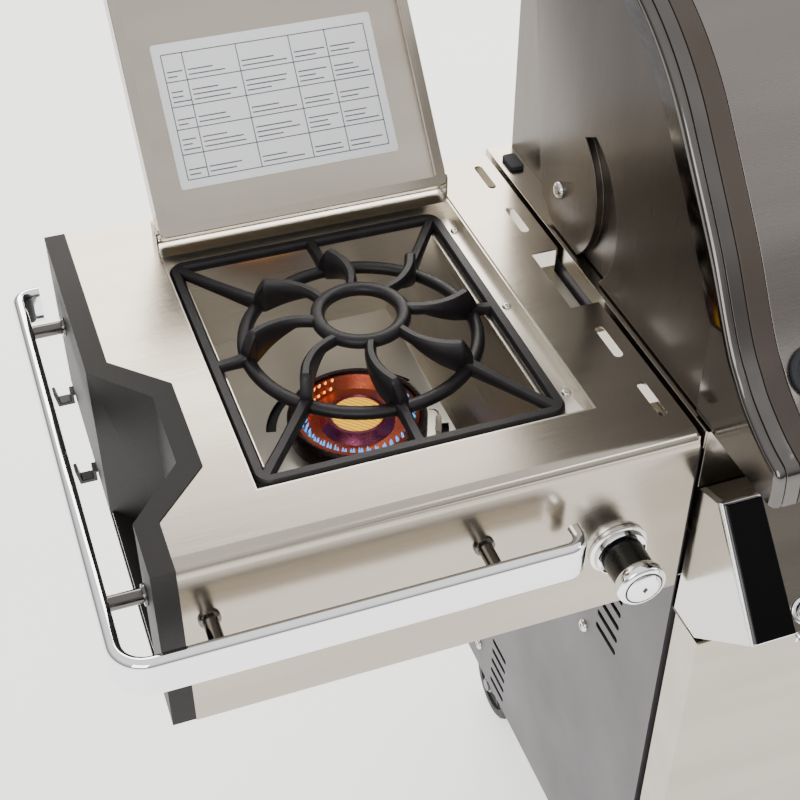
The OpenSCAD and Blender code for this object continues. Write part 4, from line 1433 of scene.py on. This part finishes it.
    def build_grate(self) -> None:
        """Makes the cast grate: frame, spokes, two rings and the curved blades."""
        up = Vector((0, 0, 1))
        cx, cy = self.grate_centre
        inset = self.bar / 2 + 0.2
        bm = bmesh.new()
        (x0, y0), (x1, y1) = self.grate_low, self.grate_high
        rim = round_rect(x0 + inset, y0 + inset, x1 - inset, y1 - inset, 9)
        frame_bar = self.bar_section(self.foot, self.frame_top, self.bar / 2)
        add_sweep(bm, [LEFT.at(x, y, 0) for x, y in reversed(rim)], lambda i: frame_bar, up, True)
        ring_bar = self.bar_section(self.foot + 0.3, self.frame_top + 0.6, 5.8)
        ring = arc(cx, cy, self.ring_low_r, 360, 0, 72)[:-1]
        add_sweep(bm, [LEFT.at(x, y, 0) for x, y in ring], lambda i: ring_bar, up, True)
        top_bar = self.bar_section(self.grate_top - 9, self.grate_top, 6.0)
        ring = arc(cx, cy, self.ring_top_r, 360, 0, 48)[:-1]
        add_sweep(bm, [LEFT.at(x, y, 0) for x, y in ring], lambda i: top_bar, up, True)
        for sx, sy in ((-1, 0), (1, 0), (0, -1), (0, 1), (-1, -1), (-1, 1), (1, -1), (1, 1)):
            edge_x = self.grate_low[0] + inset + 2 if sx < 0 else self.grate_high[0] - inset - 2
            edge_y = self.grate_low[1] + inset + 2 if sy < 0 else self.grate_high[1] - inset - 2
            end = (edge_x if sx else cx, edge_y if sy else cy)
            away = Vector((end[0] - cx, end[1] - cy))
            turn = math.atan2(sy, sx)
            start = Vector((math.cos(turn), math.sin(turn))) * (self.ring_low_r - 2)
            steps = 6
            spots = [(start + (away - start) * (k / steps)) for k in range(steps + 1)]
            spoke = [LEFT.at(cx + p.x, cy + p.y, 0) for p in spots]
            bars = [
                self.bar_section(
                    self.foot + 0.5, self.frame_top + 5.0 * (1 - k / steps) ** 2,
                    5.8 - 0.7 * math.sin(math.pi * k / steps),
                )
                for k in range(steps + 1)
            ]
            add_sweep(bm, spoke, lambda i, rows=bars: rows[i], up)
            self.blade(bm, math.degrees(turn))
        dress(object_from("burner_cast_grate", bm, 45.0), "side_grate", GRATE_IRON)

    def lid_point(self, u: float, v: float, w: float) -> Vector:
        """A point of the shut lid, turned to where the lid rests open.

        Args:
            u: across the lid.
            v: from its front to its hinge.
            w: height when it is shut.

        Returns:
            The point, in metres.
        """
        hinge = Vector(JOINTS["burner_lid_hinge"]["pos_m"])
        shut = JOINTS["burner_lid_hinge"]["range_deg"][0]
        turn = Matrix.Rotation(
            math.radians(shut), 4, Vector(JOINTS["burner_lid_hinge"]["axis"]),
        ).inverted()
        return hinge + turn @ (LEFT.at(u, v, w) - hinge)

    def build_lid(self) -> None:
        """Makes the folded lid with its hemmed rim, stiffening bead and ruled label."""
        x0, y0 = self.lid_low
        x1, y1 = self.lid_high
        wall, hem = 1.2, 9.0
        bm = bmesh.new()

        def ring(inset: float, height: float, radius: float) -> list[bmesh.types.BMVert]:
            """A rounded rectangle of points inside the lid's edge."""
            outline = round_rect(x0 + inset, y0 + inset, x1 - inset, y1 - inset, radius, 5)
            return [bm.verts.new(self.lid_point(u, v, height)) for u, v in outline]

        top, rim = self.lid_top, self.lid_rim
        rows = [
            ring(hem, rim, 3),
            ring(0.6, rim, 5),
            ring(0, rim + 0.8, 5.5),
            ring(0, top - 2.4, 5.5),
            ring(0.8, top - 0.7, 5.5),
            ring(2.6, top, 5),
        ]
        inner = [
            ring(hem, rim + wall, 3),
            ring(wall, rim + wall, 4),
            ring(wall, top - wall - 1, 4),
            ring(wall + 1.5, top - wall, 4),
        ]
        for group in (rows, inner):
            for first, second in zip(group, group[1:]):
                for i in range(len(first)):
                    j = (i + 1) % len(first)
                    bm.faces.new((first[i], first[j], second[j], second[i]))
        for i in range(len(rows[0])):
            j = (i + 1) % len(rows[0])
            bm.faces.new((rows[0][i], rows[0][j], inner[0][j], inner[0][i]))
        bm.faces.new(rows[-1])
        bm.faces.new(inner[-1])
        dress(object_from("burner_lid_pressing", bm, 30.0), "side_lid", STAINLESS_X)
        self.build_label()

    def build_label(self) -> None:
        """Makes the label: a white film with a ruled table and plain bars where words would be."""
        low, high = (126.0, 220.0), (334.0, 352.0)
        depth = self.lid_top - 1.2
        bm = bmesh.new()
        add_prism(bm, round_rect(*low, *high, 3), self.lid_point, depth - 0.3, depth - 0.02)
        dress(object_from("lid_label_film", bm), "lid_label", LABEL_FILM)
        bm = bmesh.new()
        columns = (0.0, 0.1, 0.36, 0.62, 0.8, 1.0)
        rows = (0.0, 0.22, 0.42, 0.6, 0.8, 1.0)
        x0, y0, x1, y1 = low[0] + 8, low[1] + 10, high[0] - 8, high[1] - 8

        def ink(u0: float, v0: float, u1: float, v1: float) -> None:
            """Adds one printed rectangle.

            Args:
                u0: left side.
                v0: near side.
                u1: right side.
                v1: far side.
            """
            add_prism(
                bm, [(u0, v0), (u1, v0), (u1, v1), (u0, v1)], self.lid_point, depth - 0.42,
                depth - 0.28,
            )

        for part in columns:
            u = x0 + (x1 - x0) * part
            ink(u - 0.45, y0, u + 0.45, y1)
        for part in rows:
            v = y0 + (y1 - y0) * part
            ink(x0, v - 0.45, x1, v + 0.45)
        for r, (row_low, row_high) in enumerate(zip(rows, rows[1:])):
            for c, (left, right) in enumerate(zip(columns, columns[1:])):
                lines = 2 + (r + 2 * c) % 2
                for k in range(lines):
                    v = y0 + (y1 - y0) * row_high - 5.0 - 4.5 * k
                    if v - 2 < y0 + (y1 - y0) * row_low:
                        continue
                    reach = 0.45 + 0.4 * math.sin(1.7 * r + 2.3 * c + k) ** 2
                    u = x0 + (x1 - x0) * left + 2.5
                    ink(u, v, u + (x1 - x0) * (right - left) * reach, v + 1.1)
        dress(object_from("lid_label_print", bm), "lid_label", PRINT_INK, False)

    def build_spark(self) -> None:
        """Makes the spark electrode: a glazed insulator and its bent wire."""
        foot = LEFT.at(290, 192, self.floor_z)
        up = Vector((0, 0, 1))
        bm = bmesh.new()
        insulator = [
            (0, 16), (1.3, 16), (2.6, 13.5), (3, 11), (2.4, 9), (3, 7), (2.4, 5), (3, 3), (3, -9.8),
            (0, -9.8),
        ]
        add_lathe(bm, insulator, seat_at(foot, up), 24)
        dress(object_from("spark_insulator", bm), "igniter_electrode", PORCELAIN)
        bm = bmesh.new()
        bend = [(0, 0, 15.5), (-1, 0.5, 19.5), (-4, 2.6, 21.6), (-7.5, 4.4, 21.8)]
        route = [foot + Vector(p) * MM for p in bend]
        add_sweep(bm, route, lambda i: arc(0, 0, 0.8, 0, 315, 7), up)
        dress(object_from("spark_wire", bm), "igniter_electrode", SATIN_CHROME, False)

    def build(self) -> None:
        """Makes the whole side burner."""
        # The well takes a lighter copy of the shelf stainless: painted light.
        eased("burner_box", LIT_WELL_STEEL, 0.4)
        self.build_ring()
        self.build_flames()
        self.build_grate()
        self.build_lid()
        self.build_spark()


# ---- controls ----


@dataclass
class Controls:
    """The control panel with its end caps, knobs, bezels and spark button."""

    nose: Point2 = (-102.0, -136.0)
    top: Point2 = (-27.0, -48.5)
    knob_up: float = 55.0
    knob_r: float = 23.0
    knob_h: float = 42.0
    side_r: float = 20.5
    side_h: float = 48.0
    igniter_x: float = -335.0
    igniter_up: float = 15.0
    valves: int = 4
    panel_x: float = 388.0
    slab_w: Point2 = (39.5, 35.5)
    mark_at: Point2 = (-17.0, 13.0)

    def slope_seat(self, x: float, up: float) -> Matrix:
        """A frame on the slope: X across the grill, Y up the slope, Z out of it.

        Args:
            x: place across the grill.
            up: distance up the slope from the panel's nose.

        Returns:
            The frame, in metres.
        """
        rise = Vector((0, self.top[0] - self.nose[0], self.top[1] - self.nose[1])).normalized()
        foot = CENTRE.at(x, *self.nose) + rise * up * MM
        out = Vector((0, -rise.z, rise.y))
        turn = Matrix((Vector((1, 0, 0)), rise, out)).transposed().to_4x4()
        return Matrix.Translation(foot) @ turn

    def build_knob(self, node: str, seat: Matrix, radius: float, height: float) -> None:
        """Makes one knob: a smooth black grip, a chrome cap with a groove, and its mark.

        Args:
            node: the CAD node it stands in for.
            seat: the knob's axis, from the panel outwards.
            radius: the cap's radius.
            height: the cap's height over the panel.
        """
        grip_r = radius - 2.6
        neck = height - 13
        grip = [
            (4.3, 5), (grip_r - 1.2, 5), (grip_r - 0.2, 6.2), (grip_r, 9), (grip_r - 0.6, neck),
            (4.3, neck),
        ]
        bm = bmesh.new()
        add_lathe(bm, grip, seat, 64, True)
        dress(object_from(f"{node}_grip", bm), node, KNOB_PLASTIC)
        cap = [
            (4.3, neck),
            (radius - 2.4, neck),
            (radius - 0.7, neck + 1.0),
            (radius, neck + 2.6),
            (radius, height - 4.2),
            (radius - 0.8, height - 2.4),
            (radius - 2.6, height - 1.2),
            (radius - 4.4, height - 0.8),
            (radius - 4.6, height - 2.0),
            (radius - 5.8, height - 2.0),
            (radius - 6.0, height - 0.4),
            (radius - 7.6, height + 0.7),
            (radius - 11, height + 1.3),
            (0, height + 1.5),
            (0, height - 8),
            (4.3, height - 8),
        ]
        bm = bmesh.new()
        add_lathe(bm, cap, seat, 72)
        dress(object_from(f"{node}_cap", bm), node, CHROME, False)
        bm = bmesh.new()
        low, high = height - 1.9, height - 1.2
        inner, outer = radius - 5.75, radius - 4.65
        add_lathe(bm, [(inner, low), (outer, low), (outer, high), (inner, high)], seat, 64, True)
        diamond = [(0, 3.6), (2.4, 0), (0, -3.6), (-2.4, 0)]
        add_prism(bm, diamond, in_frame(seat), height + 1.2, height + 1.55)
        dress(object_from(f"{node}_mark", bm), node, KNOB_PLASTIC, False)

    def build_bezels(self) -> None:
        """Makes the stepped chrome bezels round the knobs and the spark button."""
        seats = [
            (joint_seat(f"main_valve_{i + 1}"), self.knob_r + 6, 9.0, 5.0)
            for i in range(self.valves)
        ]
        seats.append((joint_seat("side_valve"), 25.0, 9.0, 5.0))
        seats.append((self.slope_seat(self.igniter_x, self.igniter_up), 11.0, 5.0, 5.6))
        bm = bmesh.new()
        for seat, radius, high, bore in seats:
            ring = [
                (bore, 0),
                (radius - 0.6, 0),
                (radius, 0.8),
                (radius, high * 0.36),
                (radius - 1.0, high * 0.45),
                (radius - 2.4, high * 0.5),
                (radius - 2.7, high * 0.82),
                (radius - 3.4, high),
                (radius - 4.1, high),
                (radius - 4.5, high * 0.86),
                (radius - 4.6, high * 0.5),
                (bore, high * 0.5),
            ]
            add_lathe(bm, ring, seat, 72, True)
        dress(object_from("stepped_bezels", bm), "knob_bezels", CHROME)

    def build_slabs(self) -> None:
        """Makes the thick black slabs on the panel's ends, each on a chrome tray."""
        length = math.dist(self.nose, self.top)
        layers = (("tray", 0.4, 3.9, 6.0, CHROME), ("slab", 2.2, 5.6, 10.5, GLOSS_BLACK))
        for name, inset, low, high, finish in layers:
            foot, head = self.slab_w[0] - inset, self.slab_w[1] - inset
            bm = bmesh.new()
            for side in (-1, 1):
                seat = self.slope_seat(side * self.panel_x, 0)
                outline = [
                    (inset, inset), (foot, inset), (head, length - inset), (inset, length - inset),
                ]
                add_prism(bm, [(-side * u, v) for u, v in outline], in_frame(seat), low, high)
            piece = bevel(object_from(f"panel_end_{name}", bm, 30.0), 0.9, 3)
            dress(piece, "panel_insets", finish, name == "slab")

    def build_button(self) -> None:
        """Makes the spark button with a plain spark mark beside it."""
        seat = self.slope_seat(self.igniter_x, self.igniter_up)
        bm = bmesh.new()
        button = [(0, -10), (5, -10), (5.2, -9), (5.2, 7.4), (4.6, 8.4), (3.2, 8.9), (0, 8.7)]
        add_lathe(bm, button, seat, 40)
        dress(object_from("spark_button_cap", bm), "igniter_button", CHROME)
        bolt = [
            (1.2, 5.5), (-2.2, -0.6), (-0.2, -0.6), (-1.4, -5.5), (2.2, 1.0), (0.3, 1.0),
            (2.6, 5.5),
        ]
        bm = bmesh.new()
        bolt = [(u + self.mark_at[0], v + self.mark_at[1]) for u, v in bolt]
        add_prism(bm, bolt, in_frame(seat), 0.02, 0.12)
        dress(object_from("spark_mark", bm), "control_panel", PRINT_INK, False)

    def build(self) -> None:
        """Makes all the controls."""
        # The panel's darker copy of the shelf stainless is painted shade.
        eased("control_panel", SHADED_PANEL_STEEL, 0.8, 3)
        eased("panel_ends", SATIN_CHROME, 0.7, 3)
        self.build_slabs()
        self.build_bezels()
        for i in range(self.valves):
            self.build_knob(
                f"knob_{i + 1}", joint_seat(f"main_valve_{i + 1}"), self.knob_r, self.knob_h,
            )
        self.build_knob("side_knob", joint_seat("side_valve"), self.side_r, self.side_h)
        self.build_button()


# ---- cabinet, firebox and fasteners ----


@dataclass
class Cabinet:
    """The cabinet: panels, doors, handles and tray, with plain sheet edges."""

    bar_z: float = -240.0
    bar_y: float = -72.0
    bar_r: float = 8.0
    bar_x: Point2 = (-296.0, -60.0)
    posts: Point2 = (-280.0, -76.0)
    door_y: float = -38.0

    def build_handle(self, node: str, side: int) -> None:
        """Makes one door handle: a tube with capped ends on two turned posts.

        Args:
            node: the CAD node it stands in for.
            side: 1 for the left door, -1 for the right one.
        """
        low, high = self.bar_x
        bar = [
            (0, low), (6.4, low), (8, low + 1.6), (8, low + 14), (7.6, low + 14.6),
            (7.6, low + 15.6), (8, low + 16.2),
        ]
        bar += [(r, low + high - z) for r, z in reversed(bar)]
        bm = bmesh.new()
        add_lathe(bm, bar, seat_at(CENTRE.at(0, self.bar_y, self.bar_z), Vector((1, 0, 0))), 40)
        stand = self.door_y - self.bar_y
        for x in self.posts:
            post = [(0, 0), (5.9, 0), (5.9, 1.4), (5, 2.6), (4.6, stand / 2), (5.6, stand - 6)]
            add_lathe(
                bm, post, seat_at(CENTRE.at(x, self.door_y, self.bar_z), Vector((0, -1, 0))), 32,
            )
        if side < 0:
            for vert in bm.verts:
                vert.co.x = -vert.co.x
        dress(object_from(f"{node}_tube", bm), node, CHROME)

    def build(self) -> None:
        """Makes the cabinet."""
        eased("side_panels", CABINET_PAINT, 0.35)
        eased("back_panel", CABINET_PAINT, 0.4)
        eased("front_frame", CABINET_PAINT, 0.5)
        eased("base_panel", CABINET_PAINT, 0.5)
        eased("door_left", STAINLESS_X, 2.0, 4)
        eased("door_right", STAINLESS_X, 2.0, 4)
        self.build_handle("door_handle_left", 1)
        self.build_handle("door_handle_right", -1)
        eased("drip_tray", BURNER_STEEL, 0.4)


@dataclass
class Firebox:
    """The firebox with its burners, heat tents, grids, rack, shell and gas pipes."""

    def build(self) -> None:
        """Dresses the firebox and all that it holds."""
        eased("firebox", FIREBOX_PAINT, 0.5)
        eased("shoulder_frame", STAINLESS_Y, 0.35)
        eased("rear_shell", DARK_STEEL, 0.5)
        eased("hood_pivot_ears", ZINC, 0.6)
        eased("hood_bumpers", RUBBER, 1.2, 3)
        eased("sear_plates", BURNER_STEEL, 0.6)
        eased("cooking_grids", GRID_IRON, 1.6, 2)
        eased("warming_rack", SATIN_CHROME, 0.7)
        finished_node("main_burners", BURNER_STEEL)
        finished_node("gas_manifold", BRASS)


@dataclass
class Fasteners:
    """Screws, bolts, pins and the lid's hinge ears."""

    panel_x: float = 388.0
    plate_x: float = 385.0
    pivot: Point2 = (288.0, 46.0)
    door_pin: Point2 = (377.0, -10.0)
    door_z: Point2 = (-722.0, -207.0)
    lid_hinge: Point2 = (386.7, 15.0)

    def screw(
        self, bm: bmesh.types.BMesh, seat: Matrix, radius: float, shank_r: float, length: float,
    ) -> None:
        """Adds a domed screw with a driver recess.

        Args:
            bm: the mesh under construction.
            seat: under the head, with Z along the axis, outwards.
            radius: the head's radius.
            shank_r: the shank's radius.
            length: the shank's length.
        """
        high = radius * 0.5
        profile = [
            (0, high * 0.4),
            (radius * 0.36, high * 0.4),
            (radius * 0.42, high * 0.98),
            (radius * 0.62, high),
            (radius * 0.86, high * 0.72),
            (radius, high * 0.2),
            (radius, 0),
            (shank_r, 0),
            (shank_r, -length),
            (0, -length),
        ]
        add_lathe(bm, profile, seat, 28)

    def rod(self, bm: bmesh.types.BMesh, start: Vector, end: Vector, radius: float) -> None:
        """Adds a pin with chamfered ends between two points.

        Args:
            bm: the mesh under construction.
            start: one end, in metres.
            end: the other end.
            radius: the pin's radius.
        """
        length = (end - start).length / MM
        lead = min(0.6, radius * 0.2)
        profile = [
            (0, 0), (radius - lead, 0), (radius, lead), (radius, length - lead),
            (radius - lead, length), (0, length),
        ]
        add_lathe(bm, profile, seat_at(start, end - start), 28)

    def build(self) -> None:
        """Makes every fastener in one piece, as the frame has it."""
        bm = bmesh.new()
        for side in (-1, 1):
            out = Vector((side, 0, 0))
            bolt = CENTRE.at(side * (self.plate_x + 0.4), *self.pivot)
            self.screw(bm, seat_at(bolt, out), 8, 5.99, 20.3)
            for y, z in ((144, -382), (390, -690)):
                self.screw(bm, seat_at(CENTRE.at(side * (self.panel_x + 1.5), y, z), out), 7, 3, 4)
            x = side * self.door_pin[0]
            y = self.door_pin[1]
            foot, head = self.door_z
            self.rod(bm, CENTRE.at(x, y, head - 16), CENTRE.at(x, y, head + 1), 4)
            self.rod(bm, CENTRE.at(x, y, foot - 2), CENTRE.at(x, y, foot + 16), 4)
            for y in (50, 390):
                self.rod(bm, CENTRE.at(side * 402, y, -42), CENTRE.at(side * 382, y, -42), 5)
        for ear_x, low, high in ((92.0, 92.0, 99.0), (367.4, 362.0, 369.0)):
            y, z = self.lid_hinge
            ear = [(y - 6, 0), (402, 0), (402, z + 3), (399, z + 6), (y - 3, z + 6), (y - 6, z + 3)]
            add_prism(bm, ear, lambda u, v, w: LEFT.at(w, u, v), ear_x, ear_x + 1.6)
            self.rod(bm, LEFT.at(low, y, z), LEFT.at(high, y, z), 2.5)
        up = Vector((0, 0, 1))
        for i in range(3):
            self.screw(bm, seat_at(LEFT.at(360, 94 + 122 * i, -12), up), 4, 2, 4)
        for y in (52.0, 397.0):
            self.screw(bm, seat_at(LEFT.at(414, y - 8, -11), up), 6, 3, 3)
        dress(object_from("screws_and_pins", bm, 40.0), "fasteners", SATIN_CHROME)


# ---- casters ----


@dataclass
class Casters:
    """Four swivel casters with treaded tyres on moulded hubs."""

    count: int = 4
    wheel_r: float = 50.0
    half: float = 13.0
    spokes: int = 6

    def build(self) -> None:
        """Makes the four casters."""
        r, w = self.wheel_r, self.half
        tyre = [
            (36, -w), (r - 4, -w), (r - 1.5, -w + 1.6), (r, -w + 5), (r, -2.6), (r - 1.1, -2.2),
            (r - 1.1, -1.4), (r, -1),
        ]
        tyre += [(radius, -z) for radius, z in reversed(tyre)]
        tyre += [(35, w - 4), (35, -w + 4)]
        hub = [
            (5.1, -w), (15, -w), (16.4, -w + 1), (18, -w + 6), (31, -w + 7), (33, -w + 4),
            (34.9, -w + 4),
        ]
        hub += [(radius, -z) for radius, z in reversed(hub)]
        for i in range(self.count):
            eased(f"caster_fork_{i + 1}", GALVANISED, 0.8)
            node = f"caster_wheel_{i + 1}"
            seat = joint_seat(f"wheel_spin_{i + 1}")
            bm = bmesh.new()
            add_lathe(bm, tyre, seat, 80, True)
            dress(object_from(f"{node}_tyre", bm), node, TYRE)
            bm = bmesh.new()
            add_lathe(bm, hub, seat, 64, True)
            for k in range(self.spokes):
                turned = seat @ Matrix.Rotation(2 * math.pi * k / self.spokes, 4, "Z")
                place = in_frame(turned)
                for low in (-w + 3.2, w - 7):
                    add_prism(
                        bm, [(17, -1.6), (33.5, -1.3), (33.5, 1.3), (17, 1.6)], place, low,
                        low + 3.8,
                    )
            dress(object_from(f"{node}_hub", bm), node, HUB_PLASTIC, False)


# ---- studio ----


@dataclass
class Studio:
    """A plain pale floor, soft lights and the camera."""

    lens: float = 65.57
    azimuth: float = -20.04
    elevation: float = 40.79
    roll: float = 0.265
    stand: tuple[float, float, float] = (-71.0, -698.0, 749.0)

    def build_camera(self) -> None:
        """Aims the camera."""
        a, e, r = (math.radians(v) for v in (self.azimuth, self.elevation, self.roll))
        ahead = Vector((-math.sin(a) * math.cos(e), math.cos(a) * math.cos(e), -math.sin(e)))
        right = ahead.cross(Vector((0, 0, 1))).normalized()
        up = right.cross(ahead)
        across = math.cos(r) * right + math.sin(r) * up
        above = -math.sin(r) * right + math.cos(r) * up
        data = bpy.data.cameras.new("camera")
        data.lens = self.lens
        data.sensor_width = 36.0
        data.clip_start = 0.01
        camera = bpy.data.objects.new("camera", data)
        turn = Matrix((across, above, -ahead)).transposed().to_4x4()
        camera.matrix_world = Matrix.Translation(LEFT.at(*self.stand)) @ turn
        bpy.context.scene.collection.objects.link(camera)
        bpy.context.scene.camera = camera

    def add_light(
        self, name: str, place: Vector, aim: Vector, size: Point2, power: float, colour: str,
    ) -> None:
        """Adds a soft rectangular light.

        Args:
            name: the light's name.
            place: where it hangs, in metres.
            aim: the point it faces, in metres.
            size: width and height, in metres.
            power: watts.
            colour: its hex colour.
        """
        data = bpy.data.lights.new(name, "AREA")
        data.shape = "RECTANGLE"
        data.size, data.size_y = size
        data.energy = power
        data.color = linear(colour)[:3]
        light = bpy.data.objects.new(name, data)
        light.matrix_world = seat_at(place, place - aim)
        bpy.context.scene.collection.objects.link(light)

    def build_floor(self) -> None:
        """Makes the pale floor."""
        bm = bmesh.new()
        bmesh.ops.create_grid(bm, x_segments=1, y_segments=1, size=60.0)
        floor = object_from("studio_floor", bm)
        floor.data.materials.append(FLOOR_PAPER.material())

    def build(self) -> None:
        """Sets up the studio."""
        self.build_camera()
        self.build_floor()
        middle = Vector((-0.3, 0.0, 0.8))
        self.add_light("back softbox", Vector((0.3, 2.9, 2.7)), middle, (3.0, 1.6), 110, "#fffaf2")
        self.add_light(
            "front softbox", Vector((-2.2, -2.6, 2.7)), middle, (2.0, 1.8), 55, "#ffffff",
        )
        self.add_light("right softbox", Vector((3.0, -1.2, 2.4)), middle, (2.0, 2.0), 45, "#ffffff")
        world = bpy.data.worlds.new("studio")
        world.use_nodes = True
        tree = world.node_tree
        tree.nodes.clear()
        place = add_node(tree, "ShaderNodeTexCoord")
        split = add_node(tree, "ShaderNodeSeparateXYZ", {"Vector": place.outputs["Generated"]})
        height = add_node(
            tree,
            "ShaderNodeMapRange",
            {
                "Value": split.outputs[2], "From Min": 0.05, "From Max": 0.85, "To Min": 0.0,
                "To Max": 1.0,
            },
            interpolation_type="SMOOTHSTEP",
        )
        tone = add_node(
            tree,
            "ShaderNodeMix",
            {0: height.outputs[0], 6: linear("#5a5754"), 7: linear("#ffffff")},
            data_type="RGBA",
        )
        rise = add_node(
            tree,
            "ShaderNodeMapRange",
            {
                "Value": split.outputs[2], "From Min": 0.02, "From Max": 0.2, "To Min": 0.0,
                "To Max": 1.0,
            },
            interpolation_type="SMOOTHSTEP",
        )
        whole = add_node(
            tree,
            "ShaderNodeMix",
            {0: rise.outputs[0], 6: linear("#e4e2df"), 7: tone.outputs[2]},
            data_type="RGBA",
        )
        sky = add_node(tree, "ShaderNodeBackground", {"Color": whole.outputs[2], "Strength": 1.3})
        add_node(tree, "ShaderNodeOutputWorld", {"Surface": sky.outputs[0]})
        bpy.context.scene.world = world


def main() -> None:
    """Builds the studio and every sub-assembly of the grill, in order."""
    logging.basicConfig(level=logging.INFO, format="%(message)s")
    for part in (
        Studio(), Cabinet(), Firebox(), Casters(), Shelves(), SideBurner(), Controls(), Hood(),
        Fasteners(),
    ):
        LOG.info("-- %s --", type(part).__name__)
        part.build()


if __name__ == "__main__":
    main()
